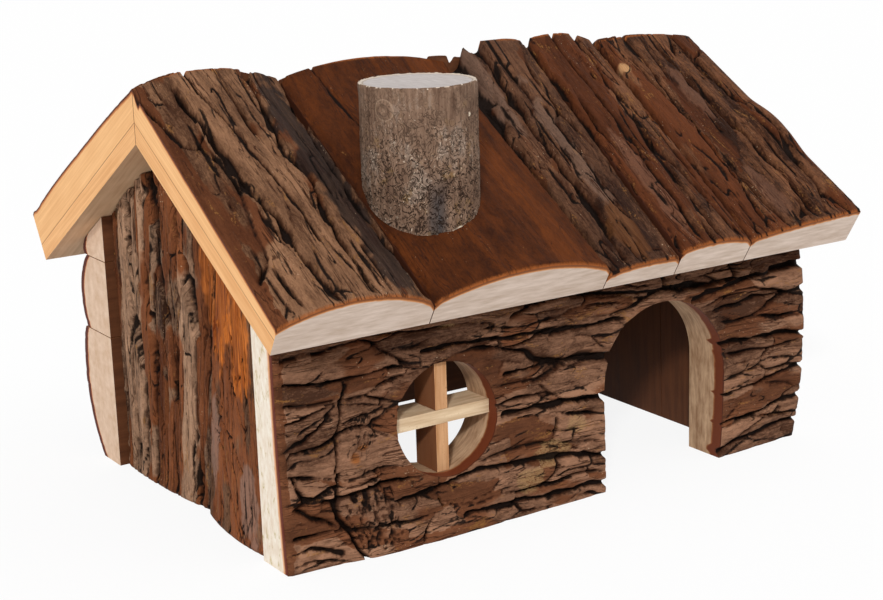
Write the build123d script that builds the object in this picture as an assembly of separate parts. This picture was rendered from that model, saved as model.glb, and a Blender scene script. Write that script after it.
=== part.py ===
from build123d import *
import os
from math import cos, radians, sin, sqrt, tan

os.makedirs("parts", exist_ok=True)

# A small pet house of bark-faced timber slabs. Millimetres. X runs along the ridge, the door side
# faces -Y and Z is up. It is modelled with Y = 0 under the ridge, and then moved, so that the origin
# is on the ground under the middle of the whole house.

# Room and walls
room_length = 158.6          # between the inner faces of the two gables
room_depth = 104.0           # between the inner faces of the front and back walls
wall_height = 86.8           # of the front and back walls, at their inner faces
wall_past_room = (18.8, 22.6)    # how far both long walls run past the room's left and right ends
seam_gap = 0.3               # between neighbouring slabs, and under the roof

# Thickness of a slab at one edge, at its crown and at its other edge. Its inner face is flat and
# its bark face bulges like the log that it was sawn from.
front_wall_bark = (          # at even steps, left to right
    (15.6, 13.6, 12.9), (19.2, 15.8, 13.2), (18.0, 17.0, 13.5), (16.2, 17.3, 12.3), (13.6, 17.6, 11.0),
)
front_crown_place = 0.35     # the front wall is thickest this far up
back_lower_height = 45.0
back_middle_height = 26.0
back_lower_bark = (14.0, 25.0, 22.5)
back_middle_bark = (20.0, 23.2, 13.5)
back_upper_bark = (17.8, 18.6, 17.0)
back_crown_place = 0.72      # the lower back slab is thickest this far up
back_taper = 1.5             # each back slab is thinner by this at its right end
left_gable_front = (17.6, 18.4, 15.2)     # front edge to rear edge
left_gable_rear = (13.2, 16.8, 15.0)
right_gable_front = (13.6, 16.4, 14.0)
right_gable_rear = (14.2, 17.0, 13.4)
left_gable_seam = (44.0, 24.0)            # from the front wall, on the ground and level with the ridge
right_gable_seam = (30.0, 33.0)

# The main furrows along a slab's bark. Each has its place across the slab at even steps along it, as a
# share of the slab's width, and its depth.
furrow_width = 3.2
front_wall_furrows = (
    ((0.05, 0.05, 0.05, 0.06, 0.08), 2.0), ((0.23, 0.20, 0.18, 0.15, 0.19), 2.4),
    ((0.40, 0.40, 0.375, 0.26, 0.30), 2.4), ((0.53, 0.53, 0.52, 0.46, 0.44), 2.4),
    ((0.67, 0.66, 0.65, 0.60, 0.60), 2.2), ((0.80, 0.80, 0.78, 0.70, 0.71), 1.8),
)
back_lower_furrows = (((0.24, 0.20), 1.8), ((0.50, 0.55), 2.2), ((0.80, 0.76), 1.8))
back_middle_furrows = (((0.42, 0.55), 2.0),)
left_rear_furrows = (((0.10, 0.41), 2.2), ((0.30, 0.59), 2.4), ((0.62, 0.82), 2.4))
right_front_furrows = (((0.52, 0.48), 2.0),)
right_rear_furrows = (((0.20, 0.24), 2.0), ((0.45, 0.42), 2.4), ((0.72, 0.75), 2.2))

# Doorway and window in the front wall
door_width = 50.0
door_height = 58.5
door_from_end = 61.0         # from its middle to the wall's right end
window_diameter = 35.0
window_from_end = 56.0       # from its middle to the wall's left end
window_height = 36.0         # of its middle
slat_width = 4.3
slat_depth = 11.4
slat_inset = 0.4             # of the slats' back, from the wall's inner face
slat_gap = 0.1               # at the ends and in the halved joint

# Roof
pitch = 31.0                 # degrees
roof_overhang = 8.5          # past the long walls' two ends
front_eave_past_room = 27.3  # level distance from the wall's inner face to the underside's tip
back_eave_past_room = 31.8
ridge_run_over = 10.0        # the slabs are cut this much too long, then mitred

# Each roof slab, from the left: width at the eave, thickness at the left edge, crown and right edge
# at the eave, and the same three at the ridge. The last slab is as wide as the rest of the roof.
front_slabs = (
    (51.3, (9.6, 15.6, 8.2), (14.4, 17.6, 12.9)),
    (62.7, (8.4, 15.0, 8.8), (13.2, 16.3, 12.6)),
    (28.0, (5.8, 7.8, 7.4), (13.0, 17.2, 16.2)),
    (29.0, (9.6, 11.6, 9.0), (16.4, 17.4, 13.5)),
    (None, (9.2, 12.0, 13.2), (13.8, 14.4, 12.4)),
)
back_slabs = (
    (46.5, (17.4, 18.2, 12.0), (13.8, 17.2, 12.6)),
    (42.0, (11.0, 13.6, 11.0), (12.0, 14.8, 12.4)),
    (34.0, (12.0, 14.8, 11.2), (12.2, 14.6, 12.2)),
    (36.0, (10.8, 13.4, 11.4), (12.0, 15.2, 12.8)),
    (None, (11.8, 14.2, 12.4), (12.4, 14.8, 12.0)),
)
front_seam_lean = (0.0, -1.4, -2.1, 1.7, 3.1, 0.0)    # how far each seam moves in X, eave to ridge
back_seam_lean = (0.0, 1.0, -1.5, 1.0, -1.0, 0.0)

# The furrows of each roof slab, from the left, placed at the eave and at the ridge
front_furrows = (
    (((0.355, 0.226), 2.4), ((0.583, 0.748), 2.4)),
    (),
    (((0.31, 0.37), 2.6), ((0.66, 0.68), 1.6)),
    (((0.29, 0.355), 1.9), ((0.57, 0.70), 1.9)),
    (((0.163, 0.29), 1.9), ((0.38, 0.44), 1.6), ((0.65, 0.60), 2.4), ((0.848, 0.81), 1.9)),
)
back_furrows = (
    (((0.30, 0.36), 2.4), ((0.66, 0.62), 2.2)),
    (((0.34, 0.30), 2.2), ((0.70, 0.74), 2.0)),
    (((0.40, 0.45), 2.4), ((0.75, 0.72), 1.8)),
    (((0.28, 0.33), 2.0), ((0.64, 0.60), 2.4)),
    (((0.22, 0.26), 2.2), ((0.50, 0.46), 2.4), ((0.78, 0.75), 2.0)),
)
eave_furrow_share = 0.35     # the furrows are this much of their depth at the eave

# Chimney, a piece of branch
chimney_radius = 17.8
chimney_taper = 0.5          # the foot's radius is smaller by this
chimney_from_end = 68.5      # from its axis to the roof's left end
chimney_from_ridge = 50.2
chimney_over_ridge = 17.4    # its top, above the ridge's underside
chimney_gap = 0.3

# Headless pins of flat wire, in the slabs and out of sight
pin_width = 1.25
pin_thickness = 1.0
pin_clearance = 0.05         # round a pin in its hole
pin_bite = 9.0               # how far it goes into the second slab
pin_set = 1.5                # how far its end lies below the bark
pin_point = 1.4              # length of its point
wall_pin_heights = (18.0, 62.0)
upper_slab_pin_drop = 10.0   # from the roof's underside at the inner face to the upper slab's pins
roof_pin_inset = 15.0        # from a roof slab's right-hand seam
roof_pin_in_wall = 8.0       # from the wall's inner face, at the roof's underside
gable_pin_from_wall = 24.0   # from a long wall's inner face to the roof's pins into the gables
chimney_pin_bite = 12.0

# Derived values
slope = tan(radians(pitch))
half_depth = room_depth / 2
wall_length = wall_past_room[0] + room_length + wall_past_room[1]
wall_left = -wall_length / 2
wall_right = wall_length / 2
roof_left = wall_left - roof_overhang
roof_right = wall_right + roof_overhang
room_left = wall_left + wall_past_room[0]
room_right = room_left + room_length
ridge_underside = wall_height + half_depth * slope
front_reach = half_depth + front_eave_past_room
back_reach = half_depth + back_eave_past_room
front_side = Vector(0, -1, 0)
back_side = Vector(0, 1, 0)
left_side = Vector(-1, 0, 0)
right_side = Vector(1, 0, 0)
uphill = Vector(0, cos(radians(pitch)), sin(radians(pitch)))       # on the front slope
off_slope = Vector(0, -sin(radians(pitch)), cos(radians(pitch)))   # straight out of the front slope
spare = 5.0                                                        # what is cut away round a bark face
upright = (Align.CENTER, Align.CENTER, Align.MIN)


def roof_underside(y):
    return ridge_underside - abs(y) * slope


def furrowed(log, width, furrows):
    """The bark line with its furrows: a broken line whose other corners lie on the log's arc."""
    centre = log.arc_center
    bulge = 1 if (log @ 0).Y > centre.Y else -1

    def on_log(x):
        return centre.Y + bulge * sqrt(log.radius**2 - (x - centre.X) ** 2)

    corners = []
    last_lip = 0.0
    for place, depth in furrows:
        middle = place * width
        lips = (middle - furrow_width / 2, middle + furrow_width / 2)
        between = (last_lip + lips[0]) / 2
        corners += [(between, on_log(between)), (lips[0], on_log(lips[0]))]
        corners += [(middle, on_log(middle) - depth), (lips[1], on_log(lips[1]))]
        last_lip = lips[1]
    between = (last_lip + width) / 2
    corners.append((between, on_log(between)))
    return Polyline((0, on_log(0)), *corners, (width, on_log(width)))


def bark_section(start, end, outward, bark, crown_place, furrows=()):
    """One end of a slab's bark face, with spare wood on its other three sides."""
    width = (end - start).length
    first, crown, last = bark
    plane = Plane(origin=start, x_dir=end - start, z_dir=(end - start).cross(outward))
    sawn = Polyline(
        (0, first), (-spare, first), (-spare, -spare),
        (width + spare, -spare), (width + spare, last), (width, last),
    )
    log = ThreePointArc((width, last), (width * crown_place, crown), (0, first))
    bark_line = furrowed(log, width, furrows) if furrows else log
    return plane * make_face([*sawn.edges(), *bark_line.edges()])


def slab(foot, head, outward, barks, furrows, crown_place=0.5, gap=seam_gap / 2, depth=0.0, fade=1.0):
    """A slab between its foot line and its head line, each a pair of points on the sawn face.

    Its edges stand back by gap, and barks are its thicknesses at even steps from foot to head. With
    depth, its back lies that much further in. The furrows' depth is multiplied by fade at the foot.
    """
    corners = []
    for start, end in (foot, reversed(head)):
        step = (end - start).normalized() * gap
        corners += [start + step - outward * depth, end - step - outward * depth]
    thickness = depth + 2 * max(max(bark) for bark in barks)
    block = extrude(make_face(Polyline(*corners, close=True)), thickness, outward)
    sections = []
    for step, bark in enumerate(barks):
        start, end = (low + (high - low) * (step / (len(barks) - 1)) for low, high in zip(foot, head))
        grown = tuple(size + depth for size in bark)
        share = 1 if step else fade
        places = [(places[step], furrow_depth * share) for places, furrow_depth in furrows]
        back = outward * depth
        sections.append(bark_section(start - back, end - back, outward, grown, crown_place, places))
    return block & loft(sections, ruled=True)


def room_under_roof():
    """Everything above the ground and below the roof's underside, less the seam gap."""
    drop = seam_gap / cos(radians(pitch))
    outline = Polyline(
        (-front_reach, 0), (-front_reach, roof_underside(front_reach) - drop),
        (0, ridge_underside - drop),
        (back_reach, roof_underside(back_reach) - drop), (back_reach, 0), close=True,
    )
    return extrude(Plane.YZ * make_face(outline), wall_length, both=True)


def pin(head, direction, length, extra=0.0):
    """A headless wire pin with a chisel point. With extra, the hole that it sits in."""
    half = pin_width / 2 + extra
    outline = Polyline(
        (0, -half), (length - pin_point, -half), (length, 0), (length - pin_point, half), (0, half),
        close=True,
    )
    flat = Plane(origin=head, x_dir=direction, z_dir=right_side) * make_face(outline)
    return extrude(flat, pin_thickness / 2 + extra, both=True)


def hole(head, direction, length):
    """The hole for a pin, from outside the bark down to the pin's tip."""
    return pin(head - direction * length, direction, 2 * length + pin_clearance, pin_clearance)


# Long walls --------------------------------------------------------------------------------------

def wall_slab(side, low, high, barks, furrows=(), crown_place=0.5):
    """A lying slab of the front or back wall, between two heights, with barks from left to right."""
    left, right = (
        (Vector(x, side.Y * half_depth, low), Vector(x, side.Y * half_depth, high))
        for x in (wall_left, wall_right)
    )
    return slab(left, right, side, barks, furrows, crown_place, 0) & room_under_roof()


def tapered(bark):
    return bark, tuple(size - back_taper for size in bark)


front_wall = wall_slab(
    front_side, 0, wall_height, front_wall_bark, front_wall_furrows, front_crown_place
)

door_place = wall_right - door_from_end
window_place = wall_left + window_from_end
arch_radius = door_width / 2
spring_height = door_height - arch_radius
door_outline = Polyline(
    (-arch_radius, spring_height), (-arch_radius, -spring_height),
    (arch_radius, -spring_height), (arch_radius, spring_height),
)
door_arch = ThreePointArc((arch_radius, spring_height), (0, door_height), (-arch_radius, spring_height))
door_face = Plane.XZ * make_face([*door_outline.edges(), door_arch])
front_wall -= Pos(door_place, 0, 0) * extrude(door_face, room_depth)
window_axis = Plane(origin=(window_place, 0, window_height), z_dir=front_side)
front_wall -= window_axis * Cylinder(window_diameter / 2, room_depth, align=upright)

middle_foot = back_lower_height + seam_gap
upper_foot = back_lower_height + back_middle_height + seam_gap
back_wall_lower = wall_slab(
    back_side, 0, back_lower_height, tapered(back_lower_bark), back_lower_furrows, back_crown_place
)
back_wall_middle = wall_slab(
    back_side, middle_foot, upper_foot - seam_gap, tapered(back_middle_bark), back_middle_furrows
)
back_wall_upper = wall_slab(back_side, upper_foot, wall_height, tapered(back_upper_bark))

# Gables ------------------------------------------------------------------------------------------


def gable_slab(side, inner_x, front_seam, rear_seam, bark, furrows=()):
    """An upright slab of a gable, between two seams: each has a Y on the ground and one at the ridge."""
    foot, head = (
        (Vector(inner_x, front_seam[level], height), Vector(inner_x, rear_seam[level], height))
        for level, height in enumerate((0, ridge_underside))
    )
    return slab(foot, head, side, (bark, bark), furrows) & room_under_roof()


def from_front_wall(seam):
    return tuple(distance - half_depth for distance in seam)


at_front = (seam_gap / 2 - half_depth,) * 2      # a seam's half gap is taken off each slab
at_back = (half_depth - seam_gap / 2,) * 2
left_seam = from_front_wall(left_gable_seam)
right_seam = from_front_wall(right_gable_seam)
left_gable_front_slab = gable_slab(left_side, room_left, at_front, left_seam, left_gable_front)
left_gable_rear_slab = gable_slab(
    left_side, room_left, left_seam, at_back, left_gable_rear, left_rear_furrows
)
right_gable_front_slab = gable_slab(
    right_side, room_right, at_front, right_seam, right_gable_front, right_front_furrows
)
right_gable_rear_slab = gable_slab(
    right_side, room_right, right_seam, at_back, right_gable_rear, right_rear_furrows
)

# Window cross ------------------------------------------------------------------------------------

slat_reach = sqrt((window_diameter / 2) ** 2 - (slat_width / 2) ** 2) - slat_gap
slat_middle = Pos(window_place, -half_depth - slat_inset - slat_depth / 2, window_height)
lap = Box(slat_width + 2 * slat_gap, slat_depth / 2 + slat_gap / 2, slat_width + 2 * slat_gap)
lap_shift = slat_depth / 4 + slat_gap / 4
upright_slat = Box(slat_width, slat_depth, 2 * slat_reach) - Pos(0, -lap_shift, 0) * lap
level_slat = Box(2 * slat_reach, slat_depth, slat_width) - Pos(0, lap_shift, 0) * lap

# Roof --------------------------------------------------------------------------------------------


def seam_places(slabs):
    """X of each seam at the eave, from the roof's left end to its right end."""
    places = [roof_left]
    for width, eave_bark, ridge_bark in slabs[:-1]:
        places.append(places[-1] + width)
    return places + [roof_right]


def front_slope_slab(slope_bark, reach, index, gap=seam_gap / 2, depth=0.0, extra=0.0):
    """One roof slab on the front slope. depth and extra grow it inwards and outwards."""
    slabs, lean, furrows = slope_bark
    width, eave_bark, ridge_bark = slabs[index]
    seams = seam_places(slabs)
    at_seams = (index, index + 1)
    ridge_run = uphill * (reach / cos(radians(pitch)) + ridge_run_over)
    eave = [Vector(seams[seam], -reach, roof_underside(reach)) for seam in at_seams]
    ridge = [point + ridge_run + Vector(lean[seam], 0, 0) for point, seam in zip(eave, at_seams)]
    barks = [tuple(size + extra for size in bark) for bark in (eave_bark, ridge_bark)]
    return slab(
        eave, ridge, off_slope, barks, furrows[index], gap=gap, depth=depth, fade=eave_furrow_share
    )


def mitred(piece):
    """The slab's part in front of the ridge, less half the seam gap."""
    return split(piece, Plane(origin=(0, -seam_gap / 2, 0), z_dir=front_side), Keep.TOP)


front_bark = (front_slabs, front_seam_lean, front_furrows)
back_bark = (back_slabs, back_seam_lean, back_furrows)
roof_front = [
    mitred(front_slope_slab(front_bark, front_reach, index)) for index in range(len(front_slabs))
]
roof_back = [
    mitred(front_slope_slab(back_bark, back_reach, index)).mirror(Plane.XZ)
    for index in range(len(back_slabs))
]

# Chimney: its foot follows the two slabs that it stands on --------------------------------------

chimney_x = roof_left + chimney_from_end
chimney_y = -chimney_from_ridge
chimney_foot = roof_underside(chimney_y - chimney_radius)
chimney_top = ridge_underside + chimney_over_ridge
chimney = Pos(chimney_x, chimney_y, chimney_foot) * Cone(
    chimney_radius - chimney_taper, chimney_radius, chimney_top - chimney_foot, align=upright
)
for index in range(2):
    chimney -= front_slope_slab(front_bark, front_reach, index, 0, 2 * chimney_radius, chimney_gap)

# Pins --------------------------------------------------------------------------------------------

front_pin_length = min(front_wall_bark[0]) - pin_set + pin_bite
back_pin_length = min(back_middle_bark) + pin_bite
gable_middles = (
    room_left - left_gable_front[0] / 2,
    room_right + right_gable_front[0] / 2,
)
front_pins, back_pins, roof_front_pins, roof_back_pins = [], [], [], []

back_pin_heights = (
    back_lower_height / 2,
    back_lower_height + back_middle_height / 2,
    wall_height - upper_slab_pin_drop,
)
for x in gable_middles:
    for height in wall_pin_heights:
        head = Vector(x, -half_depth + pin_bite - front_pin_length, height)
        front_pins.append((head, back_side, front_pin_length))
    for height in back_pin_heights:
        head = Vector(x, half_depth - pin_bite + back_pin_length, height)
        back_pins.append((head, front_side, back_pin_length))


def roof_pin(slabs, index, x, y):
    """A pin through a roof slab, square to the slope, with its tip a bite below the underside."""
    length = min(slabs[index][1]) - pin_set + pin_bite
    seat = Vector(x, y, roof_underside(y))
    return seat + off_slope * (length - pin_bite), -off_slope, length


for slabs, pins in ((front_slabs, roof_front_pins), (back_slabs, roof_back_pins)):
    seams = seam_places(slabs)
    for index in range(len(slabs)):
        pin_x = seams[index + 1] - roof_pin_inset
        pins.append(roof_pin(slabs, index, pin_x, -half_depth - roof_pin_in_wall))
    for index, x in ((0, gable_middles[0]), (len(slabs) - 1, gable_middles[1])):
        pins.append(roof_pin(slabs, index, x, -half_depth + gable_pin_from_wall))

chimney_seat = roof_underside(chimney_y) + front_slabs[1][1][1] / cos(radians(pitch))
chimney_pin_start = Vector(chimney_x, chimney_y, roof_underside(chimney_y) + pin_set)
chimney_pin_length = chimney_seat + chimney_pin_bite - chimney_pin_start.Z
chimney_pin_line = (chimney_pin_start, Vector(0, 0, 1), chimney_pin_length)


def drilled(piece, pins, behind=False):
    """The piece with a hole for each pin. The back slope's pins are mirrored from the front."""
    for line in pins:
        piece -= hole(*line).mirror(Plane.XZ) if behind else hole(*line)
    return piece


def drilled_gable(piece):
    return drilled(drilled(piece, front_pins + back_pins + roof_front_pins), roof_back_pins, behind=True)


# Named pieces ------------------------------------------------------------------------------------

pieces = {
    "front_wall": drilled(front_wall, front_pins + roof_front_pins),
    "window_slat_upright": slat_middle * upright_slat,
    "window_slat_level": slat_middle * level_slat,
    "back_wall_lower": drilled(back_wall_lower, back_pins),
    "back_wall_middle": drilled(drilled(back_wall_middle, back_pins), roof_back_pins, behind=True),
    "back_wall_upper": drilled(drilled(back_wall_upper, back_pins), roof_back_pins, behind=True),
    "left_gable_front": drilled_gable(left_gable_front_slab),
    "left_gable_rear": drilled_gable(left_gable_rear_slab),
    "right_gable_front": drilled_gable(right_gable_front_slab),
    "right_gable_rear": drilled_gable(right_gable_rear_slab),
    "chimney": drilled(chimney, [chimney_pin_line]),
    "chimney_pin": pin(*chimney_pin_line),
    "front_wall_pins": Compound([pin(*line) for line in front_pins]),
    "back_wall_pins": Compound([pin(*line) for line in back_pins]),
    "roof_front_pins": Compound([pin(*line) for line in roof_front_pins]),
    "roof_back_pins": Compound([pin(*line).mirror(Plane.XZ) for line in roof_back_pins]),
}
for index, piece in enumerate(roof_front, 1):
    pieces[f"roof_front_{index}"] = drilled(piece, roof_front_pins + [chimney_pin_line])
for index, piece in enumerate(roof_back, 1):
    pieces[f"roof_back_{index}"] = drilled(piece, roof_back_pins, behind=True)

house_middle = Compound(list(pieces.values())).bounding_box().center()
for node, shape in pieces.items():
    export_step(Pos(0, -house_middle.Y, 0) * shape, f"parts/{node}.step")
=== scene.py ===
import math
import bpy
import bmesh
import numpy as np
from mathutils import Matrix, Vector


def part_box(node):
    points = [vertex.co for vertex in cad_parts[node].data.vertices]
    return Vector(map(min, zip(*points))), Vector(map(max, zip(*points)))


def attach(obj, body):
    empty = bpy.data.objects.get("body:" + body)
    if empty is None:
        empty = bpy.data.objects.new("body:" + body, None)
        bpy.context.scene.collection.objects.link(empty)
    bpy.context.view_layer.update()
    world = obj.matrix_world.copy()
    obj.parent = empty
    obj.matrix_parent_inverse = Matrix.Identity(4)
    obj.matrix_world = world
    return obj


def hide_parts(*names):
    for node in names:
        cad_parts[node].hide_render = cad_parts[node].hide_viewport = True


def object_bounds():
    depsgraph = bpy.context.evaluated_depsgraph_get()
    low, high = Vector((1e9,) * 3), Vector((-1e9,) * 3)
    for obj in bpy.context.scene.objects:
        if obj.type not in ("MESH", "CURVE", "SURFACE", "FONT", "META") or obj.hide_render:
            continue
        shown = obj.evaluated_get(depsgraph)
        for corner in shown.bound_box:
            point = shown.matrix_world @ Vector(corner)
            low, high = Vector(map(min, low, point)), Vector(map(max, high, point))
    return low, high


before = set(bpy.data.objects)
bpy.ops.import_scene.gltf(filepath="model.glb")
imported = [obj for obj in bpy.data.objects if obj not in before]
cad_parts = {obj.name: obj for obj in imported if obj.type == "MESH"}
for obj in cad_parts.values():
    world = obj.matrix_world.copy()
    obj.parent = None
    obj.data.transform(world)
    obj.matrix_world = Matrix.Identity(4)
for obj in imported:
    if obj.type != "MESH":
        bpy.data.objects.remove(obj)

cadBox = [list(corner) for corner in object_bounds()]

# Lengths are in millimetres up to the moment when a mesh is placed.
mm = 0.001
pitch = math.radians(31.0)
seamGap = 0.3
spare = 0.03     # by which the tops stay inside the CAD box
coarse = 1.0     # a draft's meshes are coarser


def cadEdge(node, end, axis):
    # one side of a CAD node's box
    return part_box(node)[end][axis] / mm


slope = math.tan(pitch)
house = {
    "wallLeft": cadEdge("front_wall", 0, 0),
    "wallRight": cadEdge("front_wall", 1, 0),
    "roofLeft": cadEdge("roof_front_1", 0, 0) - seamGap / 2,
    "roofRight": cadEdge("roof_front_5", 1, 0) + seamGap / 2,
    "ridgeY": (cadEdge("roof_front_1", 1, 1) + cadEdge("roof_back_1", 0, 1)) / 2,
    "frontInner": cadEdge("front_wall", 1, 1),
    "backInner": cadEdge("back_wall_lower", 0, 1),
    "roomLeft": cadEdge("left_gable_rear", 1, 0),
    "roomRight": cadEdge("right_gable_rear", 0, 0),
    "ridgeUnder": cadEdge("left_gable_rear", 1, 2) + seamGap / math.cos(pitch),
    "frontTip": cadEdge("roof_front_1", 0, 2),
    "backTip": cadEdge("roof_back_1", 0, 2),
    "top": cadBox[1][2] / mm - spare,
}


def underRoof(y):
    return house["ridgeUnder"] - abs(y - house["ridgeY"]) * slope


# Camera

view = {
    "place": (-319.7, -489.9, 202.6),    # from the ridge's foot
    "turn": 33.02,                       # degrees from +Y towards +X
    "fall": 14.43,
    "roll": -1.745,
    "lens": 72.5,
}


def makeCamera():
    turn, fall, roll = (math.radians(view[key]) for key in ("turn", "fall", "roll"))
    ahead = Vector((math.sin(turn) * math.cos(fall), math.cos(turn) * math.cos(fall), -math.sin(fall)))
    level = ahead.cross(Vector((0, 0, 1))).normalized()
    over = level.cross(ahead)
    right = level * math.cos(roll) + over * math.sin(roll)
    up = over * math.cos(roll) - level * math.sin(roll)
    data = bpy.data.cameras.new("camera")
    data.lens = view["lens"]
    data.clip_start, data.clip_end = 0.01, 20
    camera = bpy.data.objects.new("camera", data)
    bpy.context.collection.objects.link(camera)
    x, y, z = view["place"]
    camera.matrix_world = Matrix.Translation(Vector((x, y + house["ridgeY"], z)) * mm) @ Matrix((
        (right.x, up.x, -ahead.x), (right.y, up.y, -ahead.y), (right.z, up.z, -ahead.z),
    )).to_4x4()
    bpy.context.scene.camera = camera


makeCamera()
print("camera set")

# Noise for the bark

diceRows = 1 << 16
dice = np.random.default_rng(20).random((diceRows, 6))
headings = np.stack([np.cos(dice[:, 0] * math.tau), np.sin(dice[:, 0] * math.tau)])


def throw(i, j, seed):
    # a row of dice for a lattice point
    mixed = (i * 73856093) ^ (j * 19349663) ^ (seed * 83492791)
    return (mixed ^ (mixed >> 15)) & (diceRows - 1)


def ramp(value, low, high):
    part = np.clip((value - low) / (high - low), 0, 1)
    return part * part * (3 - 2 * part)


def swell(a, c, seed):
    i, j = np.floor(a).astype(np.int64), np.floor(c).astype(np.int64)
    x, y = a - i, c - j
    easeX, easeY = ramp(x, 0, 1), ramp(y, 0, 1)
    sides = []
    for dj in (0, 1):
        ends = []
        for di in (0, 1):
            row = throw(i + di, j + dj, seed)
            ends.append(headings[0][row] * (x - di) + headings[1][row] * (y - dj))
        sides.append(ends[0] + (ends[1] - ends[0]) * easeX)
    return 1.5 * (sides[0] + (sides[1] - sides[0]) * easeY)


def clouds(a, c, seed, octaves=3, rough=0.5):
    total, part = 0.0, 1.0
    for octave in range(octaves):
        total = total + part * swell(a * 2 ** octave, c * 2 ** octave, seed + octave)
        part *= rough
    return total


def patches(a, c, length, width, seed):
    # for plates about length by width: distance to the plate's edge, its dice, and where on it
    x, y = a / length, c / width
    i, j = np.floor(x).astype(np.int64), np.floor(y).astype(np.int64)
    best = [np.full(x.shape, 9.0), np.full(x.shape, 9.0)]
    own = [np.zeros(x.shape), np.zeros(x.shape), np.zeros(x.shape, np.int64)]
    other = [np.zeros(x.shape), np.zeros(x.shape)]
    for di in (-1, 0, 1):
        for dj in (-1, 0, 1):
            row = throw(i + di, j + dj, seed)
            dx = x - (i + di + 0.1 + 0.8 * dice[row, 1])
            dy = y - (j + dj + 0.1 + 0.8 * dice[row, 2])
            far = dx * dx + dy * dy
            first = far < best[0]
            second = ~first & (far < best[1])
            for k, value in enumerate((dx, dy)):
                other[k] = np.where(first, own[k], np.where(second, value, other[k]))
                own[k] = np.where(first, value, own[k])
            own[2] = np.where(first, row, own[2])
            best[1] = np.where(first, best[0], np.where(second, far, best[1]))
            best[0] = np.where(first, far, best[0])
    grade = np.hypot((own[0] - other[0]) / length, (own[1] - other[1]) / width)
    return (best[1] - best[0]) / 2 / np.maximum(grade, 1e-6), own[2], own[0], own[1]


def blur(field, reach):
    reach = max(1, int(round(reach)))
    for axis in (0, 1, 0, 1):
        wide = [(0, 0), (0, 0)]
        wide[axis] = (reach + 1, reach)
        total = np.cumsum(np.pad(field, wide, mode="edge"), axis=axis)
        count = 2 * reach + 1
        high = np.take(total, range(count, total.shape[axis]), axis=axis)
        low = np.take(total, range(0, total.shape[axis] - count), axis=axis)
        field = (high - low) / count
    return field


def sample(field, u, v):
    rows, columns = field.shape
    x = np.clip(u, 0, 1) * (rows - 1)
    y = np.clip(v, 0, 1) * (columns - 1)
    i = np.minimum(x.astype(int), rows - 2)
    j = np.minimum(y.astype(int), columns - 2)
    x, y = x - i, y - j
    low = field[i, j] * (1 - y) + field[i, j + 1] * y
    high = field[i + 1, j] * (1 - y) + field[i + 1, j + 1] * y
    return low * (1 - x) + high * x


# Bark relief

def farFrom(along, across, line):
    near = np.full(along.shape, 1e9)
    for (a0, c0), (a1, c1) in zip(line, line[1:]):
        da, dc = a1 - a0, c1 - c0
        t = np.clip(((along - a0) * da + (across - c0) * dc) / (da * da + dc * dc), 0, 1)
        near = np.minimum(near, np.hypot(along - a0 - t * da, across - c0 - t * dc))
    return near


def spotMask(along, across, place, radii, seed):
    # a patch with a wandering edge: 1 inside, 0 outside
    a0, c0 = place
    far = np.hypot((along - a0) / radii[0], (across - c0) / radii[1])
    return 1 - ramp(far + 0.3 * clouds(along / 9, across / 4, seed, 4, 0.6), 0.84, 1.02)


def spots(along, across, marks, seed):
    mask = np.zeros(along.shape)
    for place, radii in marks:
        mask = np.maximum(mask, spotMask(along, across, place, radii, seed))
    return mask


def lineIn(field, step):
    # how far, in mm, a point is from where the field is 0
    return abs(field) / np.maximum(np.hypot(*np.gradient(field, step)), 0.01)


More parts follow.
